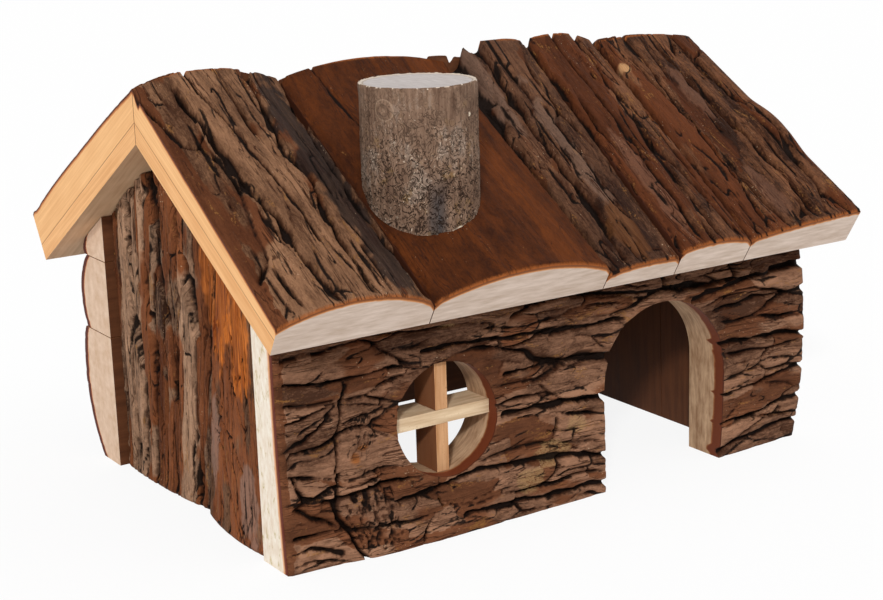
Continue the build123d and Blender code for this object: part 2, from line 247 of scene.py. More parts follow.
def carve(length, width, look):
    # relief and masks of one bark face, on a lattice of along x across
    seed = look["seed"]
    step = look["cell"] * coarse * 0.8                        # a little finer than the mesh
    along, across = np.meshgrid(
        np.linspace(0, length, int(length / step) + 2), np.linspace(0, width, int(width / step) + 2),
        indexing="ij",
    )
    a, c = along.copy(), across.copy()

    def plain(tall, broad, kind, *rest):
        # clouds of this size in mm, each kind with a seed of its own
        return clouds(along / tall, across / broad, seed + kind, *rest)

    def grained(tall, broad, kind, *rest):
        # the same along the wandering grain
        return clouds(a / tall, c / broad, seed + kind, *rest)

    for ka, kc, radius, rise in look.get("knots", ()):        # the grain runs round a knot
        far = (along - ka) ** 2 + (across - kc) ** 2
        c = c - (across - kc) * np.minimum(radius ** 2 / np.maximum(far, 0.01), 1)
    wander = look["wander"]
    a = a + 2 * wander * plain(24, 12, 0, 2)
    c = c + wander * plain(look["bend"], 12, 1, 2, 0.4)
    ragged = plain(3.2, 2.2, 33, 3, 0.6)
    height = np.zeros(along.shape)
    tone = 0.4 * plain(30, 12, 2, 3)
    bare = 0.5 * plain(26, 11, 4, 3)
    crack = np.full(along.shape, 5.0)                         # how far it is to a crack's edge
    for n, plate in enumerate(look["plates"]):
        gap, key, da, dc = patches(a, c, plate["length"], plate["width"], seed + 31 * n)
        rise, tiltA, tiltC = (dice[key, k] - 0.5 for k in (3, 4, 5))
        height += plate["step"] * (rise + plate["tilt"] * (tiltC * dc + tiltA * da))
        height -= plate["round"] * (1 - ramp(gap, 0, 0.3 * plate["width"])) ** 2
        # where the seams between the plates stand open
        gate = ramp(plain(26, 8, 31 * n + 5, 2), -0.2 - plate["open"], 0.4)
        wide = plate["gap"] * gate
        crack = np.minimum(crack, gap - 0.34 * wide + 0.15 * ragged + 0.5 * (1 - gate))
        height -= plate["depth"] * gate * (1 - ramp(gap + 0.15 * ragged, 0.25 * wide, 0.8 * wide + 0.35))
        tone += plate["tone"] * rise
        bare += plate["tone"] * (dice[key, 0] - 0.5)
    # splits run along the lines where a noise is 0, and only in some places
    for n, (splitLong, splitWide, wide, deep, share) in enumerate(look["splits"]):
        far = lineIn(grained(splitLong, splitWide, 200 + 9 * n, 2, 0.4), step)
        gate = ramp(plain(22, 7, 205 + 9 * n, 2), share - 0.15, share + 0.3)
        crack = np.minimum(crack, far - 0.6 * wide * gate + 0.12 * ragged + 0.5 * (1 - gate))
        height -= deep * gate * (1 - ramp(far + 0.2 * ragged, 0.5 * wide, 1.3 * wide + 0.3))
    # leaves of bark lie on each other, with a lip where one ends
    leaf = look["leaves"] * grained(look["leafLength"], look["leafWidth"], 77, 3, 0.45)
    part = leaf - np.floor(leaf)
    lip = part / np.maximum(np.hypot(*np.gradient(leaf, step)), 0.01)
    gate = ramp(plain(18, 7, 78, 2), -0.1, 0.35)
    crack = np.minimum(crack, lip + 0.12 + 0.15 * ragged + 0.5 * (1 - gate))
    height += look["leafStep"] * (np.floor(leaf) + ramp(lip, 0, 0.5))
    tone += 0.3 * (part - 0.5)
    height += look["fibre"] * grained(16, 1.2, 5, 3)
    height += look["swell"] * plain(34, 14, 14, 2)
    peel = spots(along, across, look.get("peeled", ()), seed + 12)     # where the outer bark is off
    smooth = -look.get("peelDepth", 1.0) + 0.35 * grained(40, 6, 15, 2)
    smooth += 0.1 * grained(30, 1.4, 16, 3)
    # the highest fifth is pressed flat, at the level that the slab's thickness sets
    height = height - np.quantile(height, 0.8)
    height = -0.15 * np.log1p(np.exp(-np.clip(height / 0.15, -30, 30)))
    height = height * (1 - peel) + smooth * peel
    crack += 3 * peel
    for place, radii, size in look.get("nobbly", ()):         # wrinkled places
        mask = spotMask(along, across, place, radii, seed + 18)
        lumpy = plain(2.2, 3.6, 19, 3, 0.7)
        height -= size * mask * ramp(lumpy, -0.35, 0.5)
        crack = np.minimum(crack, lineIn(lumpy, step) - 0.05 + 0.5 * ragged + 3 * (1 - mask))
    calm = [look.get(key, 0) for key in ("calmStart", "calmLow", "calmHigh", "calmEnd")]
    for distance, reach in zip((along, across, width - across, length - along), calm):
        if reach:                                             # the edge of the bark is worn smooth
            height *= 0.15 + 0.85 * ramp(distance + plain(5, 5, 34, 2), 0, reach)
    for (ka, kc), radius in look.get("rims", ()):             # and round a drilled hole
        height *= 0.3 + 0.7 * ramp(np.hypot(along - ka, across - kc) - radius, 0, 6)
    for n, (wide, deep, line) in enumerate(look.get("furrows", ())):     # along lines, and wandering
        warped = (
            along + 0.8 * plain(14, 9, 40 + n, 2),
            across + 0.9 * plain(14, 9, 60 + n, 2) + 0.25 * ragged,
        )
        far = farFrom(*warped, line)
        span = wide * np.maximum(0.9 + 1.3 * plain(13, 13, 80 + n, 2), 0.2)
        fade = ramp(along, -1, 9) if look.get("calmStart") else 1
        crack = np.minimum(crack, far - 0.42 * span * fade)
        height -= fade * deep * (1 - ramp(far, 0.35 * span, 0.9 * span + 0.3))
    for ka, kc, radius, rise in look.get("knots", ()):
        far = np.hypot(along - ka, across - kc) / radius
        waves = np.sin(far * 16 + 2 * plain(4, 4, 90, 2))
        height += (rise + 0.35 * waves) * np.exp(-far ** 2 * 1.5) - 1.2 * np.exp(-(far * 3.0) ** 2)
        crack = np.minimum(crack, 0.5 + 0.5 * waves + 3 * ramp(far, 0.9, 1.5) + 2 * ramp(-far, -0.45, 0))
    for distance, worn in ((across, calm[1]), (width - across, calm[2])):
        drop = 0.25 if worn else look["seamDrop"]
        height -= drop * (1 - ramp(distance + 0.6 * ragged * (not worn), 0, look["seamWidth"]))
    end = np.minimum(along, length - along + look.get("plainEnd", 0))
    height -= 0.6 * (1 - ramp(end, 0, 1.1))                   # sawn edges are a little broken
    height = np.minimum(height, 0)
    for ka, kc in look.get("covered", ()):                    # a pin's head lies here
        height = np.maximum(height, -0.8 - 4 * ramp(np.hypot(along - ka, across - kc), 1.2, 4.5))
    # painted shade: dark where it lies lower than what is around it, or very low
    crevice = ramp(blur(height, 0.9 / step) - height, 0.03, 0.6) + ramp(-height, 2.2, 3.4)
    for (ka, kc), radii, rise in look.get("lumps", ()):
        height += rise * (1 - ramp(np.hypot((along - ka) / radii[0], (across - kc) / radii[1]), 0.3, 1.3))
    values = {
        "length": length, "width": width, "cell": look["cell"] * coarse, "height": height, "tone": tone,
        "bare": bare + 2 * peel, "crack": np.clip(crack, -1, 3), "crevice": np.clip(crevice, 0, 1),
    }
    for key, kind in (("warm", 22), ("pale", 26)):
        values[key] = spots(along, across, look.get(key, ()), seed + kind)
    return values


def arc(s, width, first, crown, last, place=0.5):
    # thickness on a circle through the two edges and the crown
    x1, y1, x2, y2, x3, y3 = 0.0, first, width * place, crown, width, last
    twice = 2 * (x1 * (y2 - y3) + x2 * (y3 - y1) + x3 * (y1 - y2))
    if abs(twice) < 1e-6:
        return first + (last - first) * s
    q1, q2, q3 = x1 ** 2 + y1 ** 2, x2 ** 2 + y2 ** 2, x3 ** 2 + y3 ** 2
    cx = (q1 * (y2 - y3) + q2 * (y3 - y1) + q3 * (y1 - y2)) / twice
    cy = (q1 * (x3 - x2) + q2 * (x1 - x3) + q3 * (x2 - x1)) / twice
    reach = math.hypot(x1 - cx, y1 - cy)
    side = 1 if crown > cy else -1
    return cy + side * np.sqrt(np.maximum(reach ** 2 - (s * width - cx) ** 2, 0))


# Slab meshes

rings = {
    "under": (0.0, 0.8, 1.7, 2.8, 4.2, 7.0, 99.0),    # below the bark
    "share": (1.0, 0.88, 0.75, 0.6, 0.4, 0.2, 0.0),   # of the thickness, where the slab is thin
}
faces = ("bark", "sawn", "start", "end", "low", "high", "hole")
onSide = 0.02     # mm within which a point counts as on a block's side


def readRows(items, key):
    # vectors of a mesh's vertices or faces
    rows = np.empty(len(items) * 3)
    items.foreach_get(key, rows)
    return rows.reshape(-1, 3)


def gridBlock(length, width, cell, openings):
    # a closed block in grid space: a fine top, side rings at -1, -2 and so on, and a plain bottom
    bm = bmesh.new()
    columns, rows = round(length / cell), round(width / cell)
    bmesh.ops.create_grid(bm, x_segments=columns, y_segments=rows, size=1)
    bmesh.ops.scale(bm, vec=(length / 2, width / 2, 1), verts=bm.verts)
    bmesh.ops.translate(bm, vec=(length / 2, width / 2, 0), verts=bm.verts)
    for inside, nearest in openings:
        gone = [face for face in bm.faces if inside(*face.calc_center_median().xy)]
        bmesh.ops.delete(bm, geom=gone, context="FACES")
        rim = [
            vert for vert in bm.verts
            if vert.is_boundary and onSide < vert.co.x < length - onSide and vert.co.y < width - onSide
            and inside(*vert.co.xy, 2 * cell)
        ]
        for vert in rim:
            vert.co.x, vert.co.y = nearest(vert.co.x, vert.co.y)
        bmesh.ops.remove_doubles(bm, verts=rim, dist=cell * 0.3)     # no slivers along the rim
    edges = [edge for edge in bm.edges if edge.is_boundary]
    for ring in range(1, len(rings["under"])):
        made = bmesh.ops.extrude_edge_only(bm, edges=edges)["geom"]
        bmesh.ops.translate(bm, vec=(0, 0, -1), verts=[g for g in made if isinstance(g, bmesh.types.BMVert)])
        edges = [g for g in made if isinstance(g, bmesh.types.BMEdge) and g.is_boundary]
    bmesh.ops.triangle_fill(bm, edges=edges, use_beauty=True, normal=(0, 0, -1))
    bmesh.ops.recalc_face_normals(bm, faces=bm.faces)
    mesh = bpy.data.meshes.new("slab")
    bm.to_mesh(mesh)
    bm.free()
    return mesh


def faceKinds(mesh, length, width):
    normal, centre = readRows(mesh.polygons, "normal"), readRows(mesh.polygons, "center")
    kinds = np.full(len(normal), faces.index("hole"))
    for axis, first, last, reach in ((0, "start", "end", length), (1, "low", "high", width)):
        kinds[(normal[:, axis] < -0.7) & (centre[:, axis] < onSide)] = faces.index(first)
        kinds[(normal[:, axis] > 0.7) & (centre[:, axis] > reach - onSide)] = faces.index(last)
    kinds[normal[:, 2] > 0.5] = faces.index("bark")
    kinds[normal[:, 2] < -0.5] = faces.index("sawn")
    return kinds


def setValues(mesh, name, values):
    if values.ndim == 1:
        mesh.attributes.new(name, "FLOAT", "POINT").data.foreach_set("value", values.astype(np.float32))
    else:
        flat = values.astype(np.float32).ravel()
        mesh.attributes.new(name, "FLOAT_VECTOR", "POINT").data.foreach_set("vector", flat)


def volumeOf(mesh):
    mesh.calc_loop_triangles()
    corners = np.empty(len(mesh.loop_triangles) * 3, np.int32)
    mesh.loop_triangles.foreach_get("vertices", corners)
    p, q, r = np.moveaxis(readRows(mesh.vertices, "co")[corners.reshape(-1, 3)], 1, 0)
    return np.einsum("ij,ij->i", p, np.cross(q, r)).sum()


def shade(mesh, kinds, sharp):
    # a finish's number for each face, and edges sharper than this many degrees stay sharp
    mesh.polygons.foreach_set("material_index", kinds.astype(np.int32))
    mesh.shade_smooth()
    mesh.set_sharp_from_angle(angle=math.radians(sharp))
    mesh.update()


def addPiece(mesh, name, node, finishes):
    piece = bpy.data.objects.new(name, mesh)
    bpy.context.collection.objects.link(piece)
    for finish in finishes:
        mesh.materials.append(finish)
    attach(piece, "root")
    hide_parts(node)


shareWidth = 0.6     # of its depth, how wide a furrow is that goes from end to end


def ownMarks(look, own, length, width):
    # what is placed one by one, brought to mm along and across the slab
    marks = dict(look)
    for key in ("peeled", "nobbly", "warm", "pale", "lumps", "rims"):
        marks[key] = [(own(*place), *rest) for place, *rest in look.get(key, ())]
    for key in ("knots", "covered"):
        marks[key] = [(*own(*mark[:2]), *mark[2:]) for mark in look.get(key, ())]
    marks["furrows"] = [
        (wide, deep, [own(*place) for place in line]) for wide, deep, line in look.get("furrows", ())
    ] + [
        (shareWidth * deep, deep, [(0, start * width), (length, end * width)])
        for start, end, deep in look.get("shares", ())
    ]
    return marks


def makeSlab(node, finishes, relief, spot, thick, place, number, openings=()):
    # spot gives mm on the bark for grid shares, thick the slab's thickness and place its XYZ
    length, width = relief["length"], relief["width"]
    mesh = gridBlock(length, width, relief["cell"], openings)
    kinds = faceKinds(mesh, length, width)
    places = readRows(mesh.vertices, "co")
    u, v = places[:, 0] / length, places[:, 1] / width
    ring = np.round(-places[:, 2]).astype(int)
    along, across = spot(u, v)
    shares = along / length, across / width
    thinnest = 2.0
    top = np.maximum(thick(along, across) + sample(relief["height"], *shares), thinnest)
    under, share = np.array(rings["under"])[ring], np.array(rings["share"])[ring]
    lift = np.where(share > 0, np.maximum(top - under, top * share * 0.9 ** ring), 0)
    mesh.vertices.foreach_set("co", (place(u, v, lift) * mm).ravel())
    for key in ("tone", "bare", "crack", "crevice", "warm", "pale"):
        setValues(mesh, key, sample(relief[key], *shares))
    setValues(mesh, "under", top - lift)
    setValues(mesh, "rim", np.minimum(along, length - along))
    setValues(mesh, "grain", np.stack([along + 311.0 * number, across, lift], -1))    # its own grain
    if volumeOf(mesh) < 0:
        mesh.flip_normals()
    shade(mesh, kinds, sharp=62)
    first, *rest = node.split("_")
    name = first + "".join(part.title() for part in rest)
    addPiece(mesh, name, node, [finishes[kind] for kind in faces])


# Finishes

class Value:
    # a node's output that turns arithmetic into Math nodes
    def __init__(self, finish, socket):
        self.finish, self.socket = finish, socket

    def maths(self, operation, *values):
        return self.finish.node("Math", {"operation": operation}, dict(enumerate(values)))

    def __add__(self, other):
        return self.maths("ADD", self, other)

    def __sub__(self, other):
        return self.maths("SUBTRACT", self, other)

    def __rsub__(self, other):
        return self.maths("SUBTRACT", other, self)

    def __mul__(self, other):
        return self.maths("MULTIPLY", self, other)

    __radd__ = __add__
    __rmul__ = __mul__

    def most(self, other):
        return self.maths("MAXIMUM", self, other)

    def fraction(self):
        return self.maths("FRACT", self)

    def size(self):
        return self.maths("ABSOLUTE", self)

    def ramp(self, low, high):
        # 0 at low, 1 at high, and smooth between
        settings = {"interpolation_type": "SMOOTHSTEP"}
        return self.finish.node("MapRange", settings, {"Value": self, "From Min": low, "From Max": high})


def colour(red, green, blue):
    # from the usual 0-255 values
    parts = [part / 255 for part in (red, green, blue)]
    return (*[p / 12.92 if p < 0.04045 else ((p + 0.055) / 1.055) ** 2.4 for p in parts], 1.0)


class Finish:
    # the nodes of a material, or of the world
    def __init__(self, name, ownGrain=True, kind="materials"):
        self.made = getattr(bpy.data, kind).new(name)
        self.made.use_nodes = True
        self.tree = self.made.node_tree
        self.tree.nodes.clear()
        self.ownGrain = ownGrain

    def node(self, kind, settings=None, inputs=None, output=0):
        made = self.tree.nodes.new("ShaderNode" + kind)
        for key, value in (settings or {}).items():
            setattr(made, key, value)
        for key, value in (inputs or {}).items():
            if isinstance(value, Value):
                self.tree.links.new(value.socket, made.inputs[key])
            else:
                made.inputs[key].default_value = value
        return Value(self, made.outputs[output]) if made.outputs else made

    def blend(self, share, low, high):
        # of two colours, each a node's output or plain 0-255 values
        low, high = (colour(*part) if isinstance(part, tuple) else part for part in (low, high))
        return self.node("Mix", {"data_type": "RGBA"}, {0: share, 6: low, 7: high}, 2)

    def value(self, name):
        return self.node("Attribute", {"attribute_name": name}, output=2)

    def seen(self):
        # 1 for what the camera sees directly, mirrored or through something, and 0 for light
        straight, mirrored, through = (
            self.node("LightPath", output=f"Is {ray} Ray") for ray in ("Camera", "Glossy", "Transmission")
        )
        return straight.most(mirrored).most(through)

    def grain(self, *scale):
        # mm: the piece's own along, across and lift, or on a CAD node its X, Y and Z
        if self.ownGrain:
            vector = self.node("Attribute", {"attribute_name": "grain"}, output=1)
        else:
            vector = self.node("TexCoord", output=3)
            scale = [part / mm for part in scale]
        return self.node("VectorMath", {"operation": "MULTIPLY"}, {0: vector, 1: scale})

    def noise(self, scale, detail, rough=0.55, bend=0.0):
        inputs = {"Vector": self.grain(*scale), "Scale": 1.0, "Detail": detail, "Roughness": rough}
        return self.node("TexNoise", None, {**inputs, "Distortion": bend})

    def finish(self, base, rough, height, depth, sheen, metal=0.0):
        bump = self.node("Bump", None, {"Strength": 1.0, "Distance": depth * mm, "Height": height})
        surface = self.node("BsdfPrincipled", None, {
            "Base Color": base, "Roughness": rough, "Specular IOR Level": sheen, "Metallic": metal,
            "Normal": bump,
        })
        self.node("OutputMaterial", None, {"Surface": surface})
        return self.made


def barkFinish(name, look):
    f = Finish(name)
    tone, bare, crack, crevice, warm, pale, rim = (
        f.value(key) for key in ("tone", "bare", "crack", "crevice", "warm", "pale", "rim")
    )
    patch = f.noise((0.035, 0.10, 0.1), 3)
    streak = f.noise((0.06, 0.8, 0.5), 5, 0.62)
    speck = f.noise((1.1, 1.7, 1.2), 4, 0.7)
    flake = f.noise((0.05, 0.28, 0.15), 3, 0.6, 0.5) * look["flakes"]
    scale = flake.fraction()
    lip = 1 - scale.ramp(0.0, 0.10)
    hair = (f.noise((0.03, 0.34, 0.1), 3, 0.55, 0.4) - 0.5).size()
    hair = (1 - hair.ramp(0.003, 0.016)) * patch.ramp(0.40, 0.56)
    mottle = f.noise((0.22, 0.4, 0.3), 5, 0.68, 0.4)
    streak = look["streaky"] * (streak - 0.5) + (1 - look["streaky"]) * (mottle - 0.5) + 0.5
    shade = 0.5 + 0.62 * tone + 0.9 * (patch - 0.5) + 1.1 * (streak - 0.5) + 0.9 * (speck - 0.5)
    shade = shade + 0.6 * (mottle - 0.5)
    shade = shade + 0.2 * (scale - 0.5)
    plate = f.blend(shade, look["dark"], look["light"])
    raw = 0.5 + 0.4 * tone + 1.3 * (streak - 0.5) + 0.9 * (patch - 0.5) + 0.5 * (speck - 0.5)
    raw = f.blend(raw, look["inner"], look["innerLight"])
    tint = f.blend((bare + 0.6 * (patch - 0.5) + 0.3 * (streak - 0.5)).ramp(*look["bare"]), plate, raw)
    # painted shade: the sides of hollows take the inner bark's red-brown, darkened
    tint = f.blend(0.7 * crevice.ramp(0.1, 0.5), tint, look["flank"])
    ochre = (f.noise((0.08, 0.28, 0.2), 3, 0.6, 0.8) + 0.7 * (speck - 0.5)).ramp(*look["ochreShare"])
    tint = f.blend(ochre * (1 - crevice) * 0.7, tint, look["ochre"])
    pale = pale * look["paleShare"] * (speck + 0.4 * (streak - 0.5)).ramp(*look["paleSpeck"])
    tint = f.blend(pale, tint, look["pale"])
    fibre = f.noise((0.04, 1.3, 0.5), 4, 0.6)
    strand = f.blend(0.5 + 2.4 * (fibre - 0.5) + 1.6 * (patch - 0.5), look["warm"], look["warmLight"])
    tint = f.blend(warm * look["warmShare"], tint, strand)
    fleck = f.noise((1.3, 1.9, 1.0), 2, 0.6, 0.2) + 0.5 * (patch - 0.5)
    tint = f.blend(fleck.ramp(*look["fleckShare"]) * (1 - crevice) * 0.75, tint, look["fleck"])
    edge = 1 - (rim + 1.6 * (speck - 0.5)).ramp(*look["rimWidth"])
    tint = f.blend(edge * 0.85, tint, look["rim"])
    # painted shadow lines under the step of each flake, and dark hairline cracks
    tint = f.blend((lip * 0.4).most(hair * 0.85) * (1 - 0.7 * warm), tint, look["flank"])
    # cracks and the deepest hollows are painted near-black, as painted shade
    line = 1 - (crack + 0.35 * (speck - 0.5)).ramp(0.0, 0.28)
    tint = f.blend(line.most(crevice.ramp(0.45, 1.0)) * 0.96, tint, look["crack"])
    fine = f.noise((0.5, 2.6, 1.5), 5, 0.65)
    height = 0.30 * fine + 0.2 * speck + 0.35 * scale - 0.35 * hair - 0.3 * line
    return f.finish(tint, 0.85 - 0.25 * fine, height, look["bump"], look["sheen"])


def sawnFinish(name, look):
    # a sawn face with a band of bark along its outer edge
    f = Finish(name)
    under = f.value("under")
    lines = f.noise(look["lines"], 4, 0.6)
    cloud = f.noise(look["cloud"], 3)
    tooth = f.noise(look["tooth"], 3, 0.7)
    wood = f.blend(0.5 + 2.2 * (lines - 0.5) + 1.2 * (cloud - 0.5), look["woodDark"], look["woodLight"])
    if "stain" in look:
        spots = f.noise(look["stainScale"], 4, 0.65, 0.6).ramp(*look["stainShare"])
        wood = f.blend(spots * 0.8, wood, look["stain"])
    if "groove" in look:
        lift = f.node("SeparateXYZ", None, {0: f.grain(1, 1, 1)}, 2)
        off = (lift - look["groove"] + 0.5 * (cloud - 0.5)).size()
        wood = f.blend((1 - off.ramp(0.06, 0.24)) * 0.75, wood, look["grooveColour"])
        wood = f.blend(0.22 * (lift - look["groove"]).ramp(0, 0.3), wood, look["outerWood"])
    wobble = look["wobble"] * (cloud - 0.5) + 0.35 * (tooth - 0.5)
    depth = under + wobble
    line = (depth - look["bark"]).size()
    tint = f.blend(1 - depth.ramp(look["bark"] - 0.12, look["bark"] + 0.12), wood, look["barkColour"])
    tint = f.blend((1 - line.ramp(0.1, look["lineWidth"])) * 0.8, tint, look["line"])
    tint = f.blend((1 - depth.ramp(0.15, 0.8)) * look["crust"], tint, look["crustColour"])
    height = 0.6 * lines + 0.4 * tooth
    return f.finish(tint, 0.66 + 0.3 * (tooth - 0.5), height, look["bump"], 0.2)


barkLook = {
    "dark": (64, 38, 23), "light": (144, 104, 76), "inner": (68, 34, 16),
    # the dark red-brown beside cracks is painted shade on inner bark, and the near-black in cracks is painted
    # shade
    "innerLight": (120, 68, 38), "flank": (54, 26, 13), "crack": (16, 8, 5),
    "bare": (0.15, 0.3), "ochre": (140, 96, 50), "ochreShare": (0.64, 0.74), "flakes": 8,
    "fleck": (196, 168, 138), "fleckShare": (0.73, 0.79), "rim": (150, 84, 40),
    "rimWidth": (0.1, 1.2), "bump": 0.5, "sheen": 0.08,
    "pale": (128, 100, 84), "paleShare": 0.6, "paleSpeck": (0.1, 0.5), "streaky": 0.6,
    "warm": (112, 52, 20), "warmLight": (204, 116, 50), "warmShare": 0.85,
}
barkLooks = {
    "wall": {
        "rimWidth": (-0.6, 0.5), "rim": (90, 42, 22), "light": (156, 114, 88),
        "dark": (70, 44, 30), "innerLight": (122, 76, 50), "inner": (70, 40, 24),
        "pale": (158, 126, 86), "paleShare": 0.65, "paleSpeck": (0.36, 0.52),
        "bare": (0.25, 0.45), "warm": (70, 34, 14), "warmLight": (180, 110, 54),
    },
    "roof": {
        "bare": (0.3, 0.45), "warm": (18, 15, 15), "warmLight": (56, 43, 38),
        "warmShare": 0.88, "innerLight": (112, 66, 40),
    },
    "paleRoof": {
        "warm": (74, 42, 22), "warmLight": (116, 74, 44), "dark": (42, 24, 16),
        "light": (114, 77, 55), "inner": (52, 28, 14), "innerLight": (94, 53, 30),
        "pale": (122, 94, 78), "paleShare": 0.6,
    },
    "redRoof": {
        "bare": (0.0, 0.2), "light": (132, 86, 58), "dark": (42, 22, 12),
        "innerLight": (104, 56, 30), "inner": (54, 26, 12), "pale": (114, 78, 60),
        "warm": (176, 128, 84), "warmLight": (214, 170, 122),
    },
    "peeledRoof": {
        "bare": (-1.5, -1.0), "fleckShare": (0.78, 0.84), "ochreShare": (0.72, 0.8),
        "inner": (50, 22, 7), "innerLight": (104, 52, 18), "bump": 0.2, "streaky": 0.15,
    },
    "gable": {
        "bare": (0.0, 0.15), "rimWidth": (-0.6, 0.4), "innerLight": (144, 86, 52),
        "inner": (66, 32, 16), "light": (174, 136, 108), "warmLight": (206, 120, 56),
        "warm": (88, 38, 14), "dark": (50, 29, 18),
    },
    "smoothGable": {
        "bare": (-0.4, -0.2), "rimWidth": (-0.6, 0.4), "innerLight": (158, 94, 56),
        "inner": (88, 46, 26), "pale": (146, 114, 98), "warm": (108, 46, 14),
        "warmLight": (226, 130, 56), "fleckShare": (0.78, 0.84), "warmShare": 0.9,
        "paleShare": 0.75,
    },
}
barkFinishes = {
    name: barkFinish(name + "Bark", {**barkLook, **look}) for name, look in barkLooks.items()
}
edgeLook = {
    "woodDark": (214, 158, 104), "woodLight": (240, 190, 136),
    "lines": (0.02, 0.5, 1.6), "cloud": (0.05, 0.05, 0.35), "tooth": (1.2, 1.2, 1.6),
    "bark": 0.9, "wobble": 0.5, "line": (196, 118, 62), "lineWidth": 0.5,
    "barkColour": (112, 56, 30), "crust": 0.7, "crustColour": (70, 36, 22), "bump": 0.06,
}
sawnLooks = {
    # the sawn sides in the narrow seams between roof slabs, painted dark brown as painted shade
    "roofSeam": {
        "woodDark": (62, 34, 20), "woodLight": (104, 62, 36), "bark": 3.0,
        "barkColour": (66, 32, 17), "line": (84, 42, 20),
    },
    "sawnVerge": {
        "groove": 5.6, "grooveColour": (150, 96, 54), "outerWood": (255, 208, 148),
        "woodDark": (222, 160, 102), "woodLight": (246, 192, 134),
    },
    "eaveEndGrain": {
        "woodDark": (186, 164, 146), "woodLight": (216, 197, 183), "bark": 1.1,
        "wobble": 0.4, "barkColour": (150, 88, 44), "lines": (0.6, 0.12, 0.9), "crust": 0.5,
        "line": (206, 140, 84), "lineWidth": 0.35,
    },
    "wallEndGrain": {
        "woodDark": (226, 206, 182), "woodLight": (250, 242, 228),
        "lines": (0.6, 0.25, 0.8), "barkColour": (104, 42, 24), "bark": 2.2, "wobble": 0.5,
        "stain": (192, 172, 112), "stainScale": (0.3, 0.22, 0.5), "stainShare": (0.56, 0.68),
        "line": (232, 168, 118), "lineWidth": 1.0, "crustColour": (70, 28, 18),
    },
    "backWallEndGrain": {
        "woodDark": (206, 172, 142), "woodLight": (228, 200, 176),
        "barkColour": (86, 34, 22), "bark": 2.6, "wobble": 0.7, "lines": (0.6, 0.3, 0.3),
    },
    "cutThroughWood": {
        "woodDark": (150, 114, 84), "woodLight": (206, 172, 138),
        "barkColour": (108, 52, 28), "bark": 4.6, "wobble": 1.0, "lines": (0.2, 0.2, 0.9),
        "crustColour": (66, 32, 20), "line": (150, 92, 52),
    },
    "wallInside": {
        "woodDark": (140, 90, 54), "woodLight": (176, 120, 78),
        "lines": (0.03, 0.35, 0.6), "bark": 0.0, "lineWidth": 0.2,
    },
    # sawn wood painted dark brown as painted shade, for faces inside the house and hidden ones
    "gableInside": {
        "woodDark": (72, 39, 20), "woodLight": (104, 61, 35),
        "lines": (0.03, 0.35, 0.6), "bark": 0.0, "lineWidth": 0.2,
    },
    "roofUnderside": {
        "woodDark": (184, 144, 108), "woodLight": (214, 178, 142),
        "lines": (0.03, 0.5, 0.6), "bark": 0.0, "lineWidth": 0.2,
    },
}
sawn = {name: sawnFinish(name, {**edgeLook, **look}) for name, look in sawnLooks.items()}
# every face but the bark gets the painted-shade wood unless given another
shadedInsideFinishes = dict.fromkeys(faces, sawn["gableInside"])
print("finishes made")

# Roof

roofBark = {
    "cell": 0.5, "wander": 2.0, "bend": 34, "leafLength": 40, "leafWidth": 8, "leaves": 1.6,
    "leafStep": 0.18, "fibre": 0.07, "swell": 0.35, "seamDrop": 1.2, "seamWidth": 1.8,
    "calmStart": 4.5, "calmEnd": 8,
    "plates": (
        {"length": 110, "width": 13, "step": 1.1, "tilt": 0.8, "round": 0.35, "gap": 1.2, "depth": 2.0,
         "open": 0.1, "tone": 1.0},
        {"length": 50, "width": 7, "step": 0.35, "tilt": 0.6, "round": 0.1, "gap": 0.5, "depth": 0.8,
         "open": -0.1, "tone": 0.6},
    ),
    "splits": ((46, 7, 0.45, 0.9, 0.0), (30, 4, 0.25, 0.5, 0.1)),
}
roof = {
    "runOver": 10.0,      # the CAD slab's upper section lies this far past the ridge
    "frontLean": (0.0, -1.4, -2.1, 1.7, 3.1, 0.0),
    "backLean": (0.0, 1.0, -1.5, 1.0, -1.0, 0.0),
}
